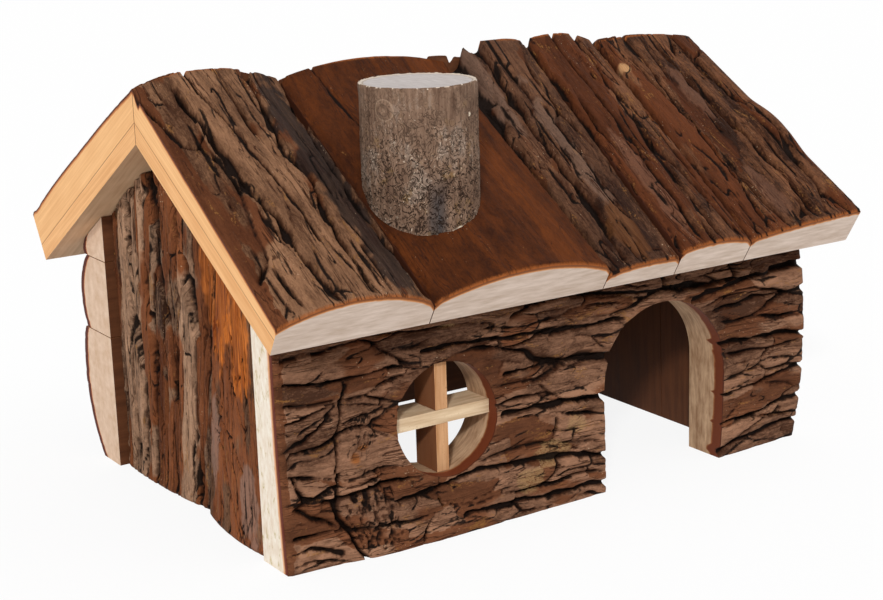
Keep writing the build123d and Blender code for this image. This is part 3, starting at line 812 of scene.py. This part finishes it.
# Width at the eave and bark thickness at the eave and the ridge. What is placed one by one has its X and its
# run up the slope, and its radii are along and across the slab. Other furrows have their shares of the
# width at the eave and the ridge, and their depth.
frontSlabs = (
    {"width": 51.3, "eave": (9.6, 15.6, 8.2), "ridge": (14.4, 17.6, 12.9), "seed": 101,
     "peeled": (((-107.2, 50), (70, 2.6)),), "calmLow": 4.0,
     "warm": (((-66, 58), (44, 7)), ((-66, 18), (20, 6))), "furrows": (
        (1.5, 3.0, ((-97, 97), (-96, 83), (-95, 62), (-92, 34), (-91, 9), (-90, 0))),
        (1.4, 3.0, ((-71, 103), (-73, 80), (-76, 65), (-73, 51), (-78, 26), (-78, 0))),
        (0.7, 1.4, ((-92, 103), (-88, 77), (-86, 63), (-84, 38), (-84, 25))),
        (0.9, 1.8, ((-71, 22), (-72, 10), (-73, 0))),
        (0.9, 1.8, ((-109, 100), (-106, 84), (-104, 74), (-101, 71), (-97, 76))),
        (2.6, 3.0, ((-58, 104), (-61, 75), (-62, 52), (-60, 24), (-58, 0))),
    )},
    {"width": 62.7, "eave": (8.4, 15.0, 8.8), "ridge": (13.2, 16.3, 12.6), "seed": 102,
     "peeled": (((-26, 50), (90, 60)),), "peelDepth": 0.5, "finish": "peeledRoof", "furrows": (
        (0.6, 0.9, ((-47, 104), (-47, 90), (-45, 70))),
    )},
    {"width": 28.0, "eave": (5.8, 7.8, 7.4), "ridge": (13.0, 17.2, 16.2), "seed": 103,
     "finish": "paleRoof", "pale": (((22, 46), (34, 3.4)), ((10, 84), (22, 2.2))),
     "lumps": (((15, 100), (14, 7), 1.2),),
     "warm": (((21, 14), (14, 5)),), "furrows": (
        (2.6, 4.5, ((6, 104), (6, 84), (4.5, 64), (5, 46), (4.5, 20), (5, 0))),
        (1.9, 3.5, ((14, 104), (15, 84), (15, 66), (15, 42), (16, 28), (14, 12), (14, 0))),
        (0.8, 1.5, ((24, 70), (25, 45), (24, 26))),
    )},
    {"width": 29.0, "eave": (9.6, 11.6, 9.0), "ridge": (16.4, 17.4, 13.5), "seed": 104,
     "finish": "redRoof", "peeled": (((44, 88), (22, 8)),), "pale": (((40, 30), (26, 3)),), "furrows": (
        (1.2, 2.6, ((36, 104), (35, 71), (33, 34), (31, 0))),
        (0.8, 1.8, ((46, 104), (46, 70), (44, 40), (42, 0))),
        (0.9, 1.9, ((56, 104), (54, 70), (51, 40), (49, 0))),
    )},
    {"width": None, "eave": (9.2, 12.0, 13.2), "ridge": (13.8, 14.4, 12.4), "seed": 105,
     "finish": "redRoof", "peeled": (((81, 52), (24, 3.5)),), "calmHigh": 4.0,
     "lumps": (((104, 46), (15, 9), 2.4),),
     "pale": (((86, 70), (15, 3)), ((82, 16), (15, 3.5))), "warm": (((68, 85), (2.4, 2.2)),),
     "knots": ((68, 85, 3, 0.8),), "furrows": (
        (1.7, 2.8, ((66, 104), (65, 84), (62, 50), (59, 17), (57, 0))),
        (0.7, 1.6, ((79, 104), (77, 70), (74, 30), (71, 0))),
        (1.5, 2.8, ((89, 90), (91, 52), (93, 40), (92, 20), (91, 0))),
        (1.1, 2.0, ((100, 100), (101, 70), (104, 43), (102, 18), (101, 4))),
    )},
)
backSlabs = (
    {"width": 46.5, "eave": (17.4, 18.2, 12.0), "ridge": (13.8, 17.2, 12.6), "seed": 111, "calmLow": 5.0,
     "lumps": (((-100, 58), (60, 34), 1.5),),
     "shares": ((0.30, 0.36, 2.4), (0.66, 0.62, 2.2))},
    {"width": 42.0, "eave": (11.0, 13.6, 11.0), "ridge": (12.0, 14.8, 12.4), "seed": 112,
     "shares": ((0.34, 0.30, 2.2), (0.70, 0.74, 2.0)), "finish": "paleRoof"},
    {"width": 34.0, "eave": (12.0, 14.8, 11.2), "ridge": (12.2, 14.6, 12.2), "seed": 113,
     "shares": ((0.40, 0.45, 2.4), (0.75, 0.72, 1.8)), "finish": "redRoof"},
    {"width": 36.0, "eave": (10.8, 13.4, 11.4), "ridge": (12.0, 15.2, 12.8), "seed": 114,
     "shares": ((0.28, 0.33, 2.0), (0.64, 0.60, 2.4))},
    {"width": None, "eave": (11.8, 14.2, 12.4), "ridge": (12.4, 14.8, 12.0), "seed": 115, "calmHigh": 4.0,
     "shares": ((0.22, 0.26, 2.2), (0.50, 0.46, 2.4), (0.78, 0.75, 2.0)), "finish": "redRoof"},
)


class Slope:
    # one side of the roof: maps a slab's run and share across to X, Y and Z
    def __init__(self, slabs, leans, tip, side):
        self.slabs, self.leans, self.side = slabs, leans, side
        self.reach = (house["ridgeUnder"] - tip) / slope
        self.full = self.reach / math.cos(pitch) + roof["runOver"]
        self.seams = [house["roofLeft"]]
        for slab in slabs[:-1]:
            self.seams.append(self.seams[-1] + slab["width"])
        self.seams.append(house["roofRight"])

    def edges(self, index, run):
        left, right = (self.seams[k] + self.leans[k] * run / self.full for k in (index, index + 1))
        return left, right

    def thickness(self, index, run, s):
        slab = self.slabs[index]
        width = self.seams[index + 1] - self.seams[index]
        part = run / self.full
        return arc(s, width, *slab["eave"]) * (1 - part) + arc(s, width, *slab["ridge"]) * part

    def ridgeRun(self, lift):
        return (self.reach - seamGap / 2 + lift * math.sin(pitch)) / math.cos(pitch)

    def place(self, index, run, s, lift):
        left, right = self.edges(index, run)
        x = left + seamGap / 2 + s * (right - left - seamGap)
        y = -self.reach + run * math.cos(pitch) - lift * math.sin(pitch)
        z = house["ridgeUnder"] - self.reach * slope + run * math.sin(pitch) + lift * math.cos(pitch)
        z = np.minimum(z, house["top"])
        return np.stack([x, house["ridgeY"] + self.side * y, z], -1)


def roofSlab(slopeSide, index, node, number):
    slab = slopeSide.slabs[index]
    width = slopeSide.seams[index + 1] - slopeSide.seams[index]
    length = slopeSide.ridgeRun(max(slab["ridge"]))

    def own(x, run):
        left, right = slopeSide.edges(index, run)
        return run, (x - left) / (right - left) * width

    look = {**roofBark, **slab, "plainEnd": 9}
    relief = carve(length, width, ownMarks(look, own, slopeSide.full, width))

    def spot(u, v):
        run = u * length
        for again in range(3):
            run = u * slopeSide.ridgeRun(slopeSide.thickness(index, run, v))
        return run, v * width

    def place(u, v, lift):
        return slopeSide.place(index, u * slopeSide.ridgeRun(lift), v, lift)

    def thick(along, across):
        return slopeSide.thickness(index, along, across / width)

    finishes = {
        **shadedInsideFinishes, "bark": barkFinishes[slab.get("finish", "roof")],
        "sawn": sawn["roofUnderside"], "start": sawn["eaveEndGrain"],
        "low": sawn["roofSeam" if index else "sawnVerge"],
        "high": sawn["roofSeam" if index < 4 else "sawnVerge"],
    }
    makeSlab(node, finishes, relief, spot, thick, place, number)


frontSlope = Slope(frontSlabs, roof["frontLean"], house["frontTip"], 1)
backSlope = Slope(backSlabs, roof["backLean"], house["backTip"], -1)
for index in range(5):
    roofSlab(frontSlope, index, f"roof_front_{index + 1}", index)
    roofSlab(backSlope, index, f"roof_back_{index + 1}", 10 + index)
print("roof made")

# Long walls

wallBark = {
    "cell": 0.5, "wander": 2.4, "bend": 24, "leafLength": 24, "leafWidth": 6, "leaves": 1.8,
    "leafStep": 0.28, "fibre": 0.1, "swell": 0.5, "seamDrop": 0.8, "seamWidth": 1.6,
    "calmStart": 5, "calmEnd": 6,
    "plates": (
        {"length": 46, "width": 9, "step": 2.8, "tilt": 1.5, "round": 0.9, "gap": 0.8, "depth": 1.8,
         "open": 0.15, "tone": 1.1},
        {"length": 18, "width": 5, "step": 0.8, "tilt": 0.8, "round": 0.3, "gap": 0.45, "depth": 0.7,
         "open": -0.05, "tone": 0.8},
    ),
    "splits": ((30, 5, 0.3, 0.6, 0.1), (16, 3, 0.15, 0.3, 0.2)),
}
holes = {
    "door": {"x": 39.0, "z": 33.5, "radius": 25.0, "straight": True},      # straight sides below its arch
    "window": {"x": -44.0, "z": 36.0, "radius": 17.5, "straight": False},
}
fadeDepth = 24     # how far below its top a wall starts to be drawn down under the roof
# what is placed one by one has its X and its height
frontWall = {
    **wallBark, "seed": 201, "crown": 0.35, "calmLow": 3.0, "barks": (
        (15.6, 13.6, 12.9), (19.2, 15.8, 13.2), (18.0, 17.0, 13.5), (16.2, 17.3, 12.3), (13.6, 17.6, 11.0),
    ),
    "covered": ((-89.4, 18), (-89.4, 62), (83.6, 18), (83.6, 62)),
    "knots": ((-75, 31, 4.5, 0.9),), "nobbly": (((-71, 12), (9, 13), 1.6), ((-72, 38), (6, 6), 0.8)),
    "lumps": (((-70, 8), (14, 14), 1.3),),
    "rims": [
        ((holes[name]["x"], z), holes[name]["radius"])
        for name, z in (("window", 36.0), ("door", 33.5), ("door", 19), ("door", 4))
    ],
    "peeled": (((-99.5, 44), (2.2, 60)),), "warm": (((-75.6, 30), (1.9, 1.7)), ((-73, 33), (1.6, 0.9))),
    "pale": (((-7, 18), (7, 4.5)), ((-16, 11), (6, 4)), ((3, 25), (4, 3)), ((-42, 64.5), (3, 0.6))),
    "furrows": (
        (0.9, 2.0, ((-77, 52), (-78, 46), (-81, 37), (-82, 27))),
        (1.1, 2.8, ((-81, 26), (-82, 13), (-78, 5), (-75, 0))),
        (0.8, 1.8, ((-100, 20), (-90, 20), (-82, 23))),
        (0.7, 1.6, ((-100, 5), (-92, 6), (-82, 3))),
        (0.9, 2.0, ((-100, 36), (-92, 37), (-83, 44))),
        (1.0, 2.0, ((58, 2), (75, 4), (102, 7))),
        (1.0, 1.8, ((62, 12), (80, 13), (102, 16))),
        (1.1, 2.2, ((62, 22), (80, 23), (102, 27))),
        (1.3, 2.6, ((62, 40), (80, 40), (102, 38))),
        (0.9, 1.8, ((60, 51), (75, 53), (102, 53))),
        (1.3, 2.4, ((52, 57), (75, 60), (102, 62))),
        (1.2, 2.4, ((-40, 5), (-20, 5), (0, 4), (16, 3))),
        (1.2, 2.4, ((-62, 14), (-45, 17), (-25, 18), (-5, 16), (16, 13))),
        (1.3, 2.6, ((-24, 33), (0, 33), (16, 32))),
        (1.2, 2.4, ((-22, 46), (0, 45), (18, 44))),
        (1.1, 2.0, ((-50, 58), (-20, 57), (0, 56), (24, 55))),
        (1.0, 1.8, ((-50, 70), (0, 68), (30, 63), (60, 61))),
    ),
}


def wallThickness(look, length, along, across, width):
    # between sections at even steps along the wall
    barks = look["barks"]
    part = along / length * (len(barks) - 1)
    total = 0
    for k, bark in enumerate(barks):
        share = np.clip(1 - abs(part - k), 0, 1)
        total = total + share * arc(across / width, width, *bark, look["crown"])
    return total


def longWall(node, look, side, low, high, number, finishes, openings=()):
    left, length, width = house["wallLeft"], house["wallRight"] - house["wallLeft"], high - low
    inner = house["frontInner"] if side < 0 else house["backInner"]
    marks = ownMarks(look, lambda x, z: (x - left, z - low), length, width)
    drop = seamGap / math.cos(pitch)
    fade = max(high - fadeDepth, low)

    def place(u, v, lift):
        z = low + v * width
        y = inner + side * lift
        room = np.minimum(underRoof(y) - drop, high) - high
        z = z + room * np.clip((z - fade) / (high - fade), 0, 1)
        return np.stack([left + u * length, y, z], -1)

    makeSlab(
        node, finishes, carve(length, width, marks), lambda u, v: (u * length, v * width),
        lambda along, across: wallThickness(look, length, along, across, width), place, number, openings,
    )


def cutter(hole):
    # is a place on the wall's grid inside the hole, and where is the nearest place on its edge
    middle = hole["x"] - house["wallLeft"]

    def fromCentre(x, z):
        rise = z - hole["z"]
        return x - middle, 0.0 if hole["straight"] and rise < 0 else rise

    def inside(x, z, spare=0.0):
        return math.hypot(*fromCentre(x, z)) < hole["radius"] + spare

    def nearest(x, z):
        off, rise = fromCentre(x, z)
        scale = hole["radius"] / max(math.hypot(off, rise), 0.001)
        return middle + off * scale, z - rise + rise * scale

    return inside, nearest


wallFinishes = {
    **dict.fromkeys(faces, sawn["wallInside"]), "bark": barkFinishes["wall"], "start": sawn["wallEndGrain"],
    "end": sawn["wallEndGrain"], "hole": sawn["cutThroughWood"],
}
# the back walls' inner faces take the painted-shade wood
backFinishes = {
    **wallFinishes, "start": sawn["backWallEndGrain"], "end": sawn["backWallEndGrain"],
    "sawn": sawn["gableInside"],
}
longWall("front_wall", frontWall, -1, 0.0, cadEdge("front_wall", 1, 2), 20, wallFinishes,
         [cutter(hole) for hole in holes.values()])
backWalls = (
    {"node": "back_wall_lower", "seed": 211, "crown": 0.72, "calmLow": 3.0,
     "barks": ((14.0, 25.0, 22.5), (12.5, 23.5, 21.0)),
     "shares": ((0.24, 0.20, 1.8), (0.50, 0.55, 2.2), (0.80, 0.76, 1.8))},
    {"node": "back_wall_middle", "seed": 212, "crown": 0.5,
     "barks": ((20.0, 23.2, 16.4), (18.5, 21.7, 14.4)), "shares": ((0.42, 0.55, 2.0),),
     "calmLow": 3.0, "calmHigh": 3.0},
    {"node": "back_wall_upper", "seed": 213, "crown": 0.5,
     "barks": ((17.8, 18.6, 17.0), (16.3, 17.1, 15.5)), "calmLow": 3.0},
)
for number, part in enumerate(backWalls):
    low, high = cadEdge(part["node"], 0, 2), cadEdge(part["node"], 1, 2)
    longWall(part["node"], {**wallBark, **part}, 1, low, high, 21 + number, backFinishes)
print("long walls made")

# Gables

gableBark = {
    "cell": 0.5, "wander": 2.0, "bend": 40, "leafLength": 50, "leafWidth": 6, "leaves": 1.6,
    "leafStep": 0.2, "fibre": 0.12, "swell": 0.4, "seamDrop": 1.0, "seamWidth": 1.8, "calmStart": 4,
    "plates": (
        {"length": 130, "width": 9, "step": 1.4, "tilt": 0.8, "round": 0.5, "gap": 1.5, "depth": 2.6,
         "open": 0.25, "tone": 1.0},
        {"length": 50, "width": 4.5, "step": 0.4, "tilt": 0.5, "round": 0.15, "gap": 0.5, "depth": 0.7,
         "open": 0.0, "tone": 0.7},
    ),
    "splits": ((46, 5, 0.4, 0.8, 0.0), (30, 3, 0.25, 0.4, 0.1)),
}
smoothGable = {
    **gableBark, "leafStep": 0.12, "fibre": 0.08, "plates": (
        {"length": 80, "width": 15, "step": 0.7, "tilt": 0.6, "round": 0.2, "gap": 0.6, "depth": 1.2,
         "open": -0.05, "tone": 0.7},
        {"length": 36, "width": 6, "step": 0.2, "tilt": 0.5, "round": 0.1, "gap": 0.35, "depth": 0.4,
         "open": -0.1, "tone": 0.4},
    ),
}
leftSeam, rightSeam = (44.0, 24.0), (30.0, 33.0)     # from the front wall, on the ground and at the ridge
# what is placed one by one has its distance from the front wall and its height
gables = (
    {"node": "left_gable_front", "side": -1, "front": (0, 0), "rear": leftSeam,
     "bark": (17.6, 18.4, 15.2), "seed": 301, "base": smoothGable, "finish": "smoothGable",
     "warm": (((22, 80), (26, 16)), ((10, 64), (18, 8))), "peeled": (((24, 84), (26, 16)),),
     "pale": (((34, 26), (16, 5)), ((9, 14), (14, 6)), ((42, 44), (12, 3))), "furrows": (
        (0.7, 1.3, ((30, 45), (29, 37), (22, 20), (16, 2))),
        (0.6, 1.2, ((38, 48), (37, 36), (27, 27), (21, 12))),
        (0.5, 1.1, ((21, 56), (14, 46), (9, 36))),
        (0.5, 1.0, ((29, 37), (18, 33), (12, 24))),
     )},
    {"node": "left_gable_rear", "side": -1, "front": leftSeam, "rear": None,
     "bark": (13.2, 16.8, 16.6), "seed": 302, "base": gableBark, "warm": (((34, 84), (24, 7)),),
     "knots": ((93, 58, 3, 0.5),), "furrows": (
        (3.4, 4.6, ((88, 92), (86, 70), (86, 51), (83, 35), (82, 22))),
        (3.4, 4.6, ((70, 108), (68, 90), (66, 70), (62, 55), (63, 33))),
        (3.0, 4.2, ((55, 110), (53, 90), (49, 72), (45, 58))),
        (1.6, 2.8, ((76, 104), (77, 80), (75, 50), (72, 20))),
     )},
    {"node": "right_gable_front", "side": 1, "front": (0, 0), "rear": rightSeam,
     "bark": (13.6, 16.4, 14.0), "seed": 303, "base": gableBark, "shares": ((0.52, 0.48, 2.0),)},
    {"node": "right_gable_rear", "side": 1, "front": rightSeam, "rear": None,
     "bark": (14.2, 17.0, 13.4), "seed": 304, "base": gableBark,
     "shares": ((0.20, 0.24, 2.0), (0.45, 0.42, 2.4), (0.72, 0.75, 2.2))},
)


def gableSlab(part, number):
    front = part["front"]
    depth = house["backInner"] - house["frontInner"]
    rear = part["rear"] or (depth, depth)
    top = house["ridgeUnder"]
    inner = house["roomLeft"] if part["side"] < 0 else house["roomRight"]
    width = max(rear[k] - front[k] for k in (0, 1))

    def edges(z):
        nearer, farther = (seam[0] + (seam[1] - seam[0]) * z / top for seam in (front, rear))
        return nearer + seamGap / 2, farther - seamGap / 2

    def spread(u, v):
        # height and distance from the front wall
        z = u * top
        for again in range(4):
            nearer, farther = edges(z)
            y = nearer + v * (farther - nearer)
            z = u * (underRoof(y + house["frontInner"]) - seamGap / math.cos(pitch))
        return z, y

    def spot(u, v):
        return spread(u, v)[0], v * width

    def place(u, v, lift):
        z, y = spread(u, v)
        return np.stack([inner + part["side"] * lift, y + house["frontInner"], z], -1)

    def own(y, z):
        nearer, farther = edges(z)
        return z, (y - nearer) / (farther - nearer) * width

    relief = carve(top, width, ownMarks({**part["base"], **part}, own, top, width))
    finishes = {**shadedInsideFinishes, "bark": barkFinishes[part.get("finish", "gable")]}
    makeSlab(
        part["node"], finishes, relief, spot,
        lambda along, across: arc(across / width, width, *part["bark"]), place, number,
    )


for number, part in enumerate(gables):
    gableSlab(part, 30 + number)
print("gables made")

# Chimney

chimney = {
    "sides": 288, "rows": 130,
    "rim": 0.9,              # width of the torn bark round the sawn top
    "sink": 0.75,            # how far its foot goes below the crown of the bark that it stands on
    "front": (-0.537, -0.844),
    "knot": (-34.6, 6.8),    # degrees from the front towards the right, and mm below the top
    "blister": (-61, 4.5), "dot": (57, 9.5), "chip": (37, 43), "smear": 15.5,
}


def chimneyFoot(x, y):
    # the bark under the chimney, on the second slab of the front slope
    index = 1
    lift = 0
    for again in range(4):
        run = (y - house["ridgeY"] + frontSlope.reach + lift * math.sin(pitch)) / math.cos(pitch)
        left, right = frontSlope.edges(index, run)
        lift = frontSlope.thickness(index, run, np.clip((x - left) / (right - left), 0, 1))
    return frontSlope.place(index, run, 0, lift)[:, 2] - chimney["sink"]


def makeChimney():
    low, high = (np.array(corner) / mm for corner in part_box("chimney"))
    axis, radius = (low[:2] + high[:2]) / 2, (high[0] - low[0]) / 2
    bm = bmesh.new()
    bmesh.ops.create_cone(
        bm, cap_ends=True, segments=chimney["sides"], radius1=1, radius2=1, depth=1,
    )
    upright = [edge for edge in bm.edges if abs(edge.verts[0].co.z - edge.verts[1].co.z) > 0.5]
    bmesh.ops.subdivide_edges(bm, edges=upright, cuts=chimney["rows"])
    top = [face for face in bm.faces if face.normal.z > 0.9]
    for wide in (chimney["rim"] / radius, 0.5 / radius, 0.12, 0.2, 0.2, 0.2):     # rings of the sawn top
        bmesh.ops.inset_region(bm, faces=top, thickness=wide)
    mesh = bpy.data.meshes.new("chimney")
    bm.to_mesh(mesh)
    bm.free()
    x, y, t = readRows(mesh.vertices, "co").T
    t = t + 0.5
    out = np.hypot(x, y)
    frontX, frontY = chimney["front"]
    turn = np.arctan2(frontX * y - frontY * x, x * frontX + y * frontY)      # to the right is positive
    ring = radius * turn
    drop = (1 - t) * (high[2] - low[2])

    def around(grid, seed, octaves):
        # noise whose two ends meet at the back
        a, c = grid
        share = 0.5 * ramp(abs(turn), 2.5, math.pi)
        other = ring - np.sign(turn) * math.tau * radius
        here, there = (clouds(place / a, drop / c, seed, octaves) for place in (ring, other))
        return here * (1 - share) + there * share

    def spotAt(place, wide, tall, seed):
        return spotMask(ring, drop, (radius * math.radians(place[0]), place[1]), (wide, tall), seed)

    squiggle = abs(around((2.6, 3.4), 402, 2))
    swellOut = 0.35 * around((14, 22), 400, 3) + 0.12 * around((2.2, 9), 401, 3)
    swellOut -= 0.22 * ramp(drop, 12, 22) * (1 - ramp(squiggle, 0.0, 0.12))
    for key, wide, rise in (("knot", 2.2, 0.5), ("blister", 1.8, 0.5), ("dot", 0.9, 0.4), ("chip", 1.5, 0.5)):
        middle = math.radians(chimney[key][0]) * radius, chimney[key][1]
        far = np.hypot(ring - middle[0], drop - middle[1]) / wide
        swellOut += rise * np.exp(-(far - 0.75 * (key == "knot")) ** 2 * 6)     # the knot is a ring
    swellOut -= 0.5 * (1 - ramp(drop + 0.8 * around((1.2, 3), 404, 3), -0.2, 0.7))   # torn at the top
    side = out > 0.999
    wide = np.where(side, radius - 0.2 + swellOut, out * (radius - 0.6))
    spotX, spotY = axis[0] + wide * x / np.maximum(out, 1e-6), axis[1] + wide * y / np.maximum(out, 1e-6)
    foot = chimneyFoot(spotX, spotY)
    z = foot + t * (high[2] - 0.15 - foot)
    onTop = t > 0.999
    dip = 0.3 * ramp(radius - wide, 0.4, 1.4) * onTop
    z = z - dip + 0.1 * onTop * clouds(spotX / 3, spotY / 3, 405, 3)
    z = np.minimum(z, high[2] - spare)
    mesh.vertices.foreach_set("co", (np.stack([spotX, spotY, z], -1) * mm).ravel())
    setValues(mesh, "grain", np.stack([spotX - axis[0], spotY - axis[1], z - high[2]], -1))
    setValues(mesh, "squiggle", np.where(side, squiggle, 1))
    setValues(mesh, "lower", ramp(drop + 9 * around((7, 9), 407, 2), -6, 30))
    setValues(mesh, "out", radius - wide)
    chip, dot = spotAt(chimney["chip"], 3.4, 1.9, 410), spotAt(chimney["dot"], 0.6, 0.6, 411)
    setValues(mesh, "pale", np.maximum(chip, dot))
    far = abs(turn - math.radians(chimney["smear"]) + 0.06 * around((8, 12), 412, 2))
    setValues(mesh, "smear", (1 - ramp(far, 0.05, 0.24)) * ramp(drop, 22, 34))
    knot = math.radians(chimney["knot"][0]) * radius, chimney["knot"][1]
    setValues(mesh, "ring", abs(np.hypot(ring - knot[0], drop - knot[1]) - 1.7))
    shade(mesh, readRows(mesh.polygons, "normal")[:, 2] > 0.7, sharp=50)
    addPiece(mesh, "branchChimney", "chimney", [branchBark(), branchTop()])


def branchBark():
    f = Finish("branchBark")
    squiggle, lower, pale, smear, ring = (
        f.value(key) for key in ("squiggle", "lower", "pale", "smear", "ring")
    )
    streak = f.noise((0.9, 0.9, 0.09), 5, 0.62)
    patch = f.noise((0.09, 0.09, 0.07), 4, 0.6)
    speck = f.noise((1.3, 1.3, 1.1), 3, 0.7)
    worm = (f.noise((0.44, 0.44, 0.34), 2, 0.5, 1.6) - 0.5).size()
    tint = f.blend(0.5 + 1.5 * (streak - 0.5) + 1.5 * (patch - 0.5), (92, 68, 54), (160, 130, 108))
    tint = f.blend((patch + 0.4 * (streak - 0.5)).ramp(0.50, 0.62) * 0.4, tint, (126, 116, 108))
    tint = f.blend(f.noise((0.2, 0.2, 0.2), 3, 0.6).ramp(0.58, 0.70) * lower * 0.5, tint, (140, 108, 62))
    fleck = (speck + 0.4 * (patch - 0.5)).ramp(0.60, 0.70)
    tint = f.blend(fleck * (0.25 + 0.6 * lower), tint, (204, 184, 162))
    tint = f.blend(smear * (0.4 + streak) * 0.8, tint, (52, 54, 58))
    line = (1 - worm.ramp(0.008, 0.04)) * (0.2 + 0.75 * lower)
    line = line.most((1 - squiggle.ramp(0.01, 0.09)) * lower * 0.8)
    line = line.most((1 - ring.ramp(0.1, 0.45)) * 0.6 * speck.ramp(0.3, 0.6))
    tint = f.blend(line, tint, (42, 28, 20))
    tint = f.blend(ring.ramp(1.0, 1.5) * (1 - ring.ramp(1.66, 1.7)) * 0.5, tint, (170, 144, 120))
    tint = f.blend(pale, tint, (226, 208, 184))
    height = 0.5 * speck - 0.6 * line + 0.5 * streak
    return f.finish(tint, 0.85 - 0.15 * speck, height, 0.5, 0.1)


def branchTop():
    f = Finish("branchSawnTop")
    out = f.value("out") + 0.5 * (f.noise((1.2, 1.2, 1.2), 3, 0.6) - 0.5)
    cut = f.noise((0.7, 0.12, 0.1), 4, 0.6)
    tint = f.blend(0.5 + 1.6 * (cut - 0.5), (170, 160, 156), (204, 196, 192))
    tint = f.blend(1 - out.ramp(1.0, 1.5), tint, (206, 190, 172))
    tint = f.blend(1 - (out - 1.6).size().ramp(0.05, 0.3), tint, (168, 148, 128))
    return f.finish(tint, 0.8 - 0.2 * cut, cut, 0.12, 0.15)


makeChimney()
print("chimney made")

# Window slats and pins

strips = {
    "window_slat_upright": {
        "dark": (176, 122, 78), "light": (216, 170, 126), "lines": (1.3, 0.3, 0.06),
        "cloud": (0.3, 0.2, 0.05), "side": (112, 62, 34),
    },
    "window_slat_level": {
        "dark": (190, 158, 122), "light": (234, 210, 176), "lines": (0.05, 0.4, 1.1),
        "cloud": (0.06, 0.2, 0.3), "side": (176, 126, 84),
    },
}


def dressNode(node, finish):
    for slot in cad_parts[node].material_slots:
        slot.material = finish


def stripFinish(name, look):
    f = Finish(name, ownGrain=False)
    lines, cloud = f.noise(look["lines"], 4, 0.6), f.noise(look["cloud"], 3)
    tooth = f.noise((1.6, 1.6, 1.6), 3, 0.7)
    tint = f.blend(0.5 + 2.0 * (lines - 0.5) + 1.4 * (cloud - 0.5), look["dark"], look["light"])
    facing = f.node("SeparateXYZ", None, {0: f.node("TexCoord", output=1)}, 0)
    tint = f.blend((0 - facing).ramp(0.5, 0.9) * (0.7 + 0.3 * lines), tint, look["side"])
    tint = f.blend((tooth + 0.5 * (lines - 0.5)).ramp(0.62, 0.76) * 0.5, tint, look["side"])
    return f.finish(tint, 0.72 + 0.2 * (tooth - 0.5), 0.6 * lines + 0.4 * tooth, 0.15, 0.2)


for node, look in strips.items():
    dressNode(node, stripFinish(node.replace("_", " ").title().replace(" ", ""), look))


def pinFinish():
    f = Finish("drawnWire", ownGrain=False)
    drawn = f.noise((3, 0.2, 3), 3, 0.6)
    dull = f.noise((0.6, 0.6, 0.6), 3, 0.6)
    tint = f.blend(0.5 + 1.5 * (dull - 0.5), (112, 112, 114), (176, 176, 178))
    return f.finish(tint, 0.3 + 0.25 * drawn, drawn, 0.02, 0.5, metal=1.0)


wire = pinFinish()
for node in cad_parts:
    if "pin" in node:
        dressNode(node, wire)
print("slats and pins finished")

# Stage

lights = {
    "key": {"from": (-0.80, -0.92, 0.80), "strength": 1.7, "angle": 6},
    "fill": {"from": (0.35, -0.4, 1.0), "strength": 0.65, "angle": 60},
}
world = {"light": 0.52, "white": 1.0}                    # as a light, and as the camera sees it
ground = {"half": 6, "paint": 0.95, "glow": 0.88}        # metres, its white, and its share of glow


def makeStage():
    bm = bmesh.new()
    bmesh.ops.create_grid(bm, x_segments=1, y_segments=1, size=ground["half"])
    mesh = bpy.data.meshes.new("floor")
    bm.to_mesh(mesh)
    bm.free()
    floor = bpy.data.objects.new("floor", mesh)
    bpy.context.collection.objects.link(floor)
    f = Finish("floorWhite")
    paint = f.node("BsdfDiffuse", None, {"Color": (*[ground["paint"]] * 3, 1)})
    glow = f.node("Emission", None, {"Color": (1, 1, 1, 1), "Strength": 1.0})
    mixed = f.node("MixShader", None, {0: f.seen() * ground["glow"], 1: paint, 2: glow})
    f.node("OutputMaterial", None, {"Surface": mixed})
    mesh.materials.append(f.made)
    for name, lamp in lights.items():
        data = bpy.data.lights.new(name, "SUN")
        data.energy, data.angle = lamp["strength"], math.radians(lamp["angle"])
        sun = bpy.data.objects.new(name, data)
        sun.rotation_euler = Vector(lamp["from"]).to_track_quat("Z", "Y").to_euler()
        bpy.context.collection.objects.link(sun)
    f = Finish("sky", kind="worlds")
    light = f.node("MapRange", None, {"Value": f.seen(), "To Min": world["light"], "To Max": world["white"]})
    back = f.node("Background", None, {"Color": (1, 1, 1, 1), "Strength": light})
    f.node("OutputWorld", None, {"Surface": back})
    bpy.context.scene.world = f.made
    bpy.context.scene.view_settings.view_transform = "Standard"


makeStage()
print("stage made")
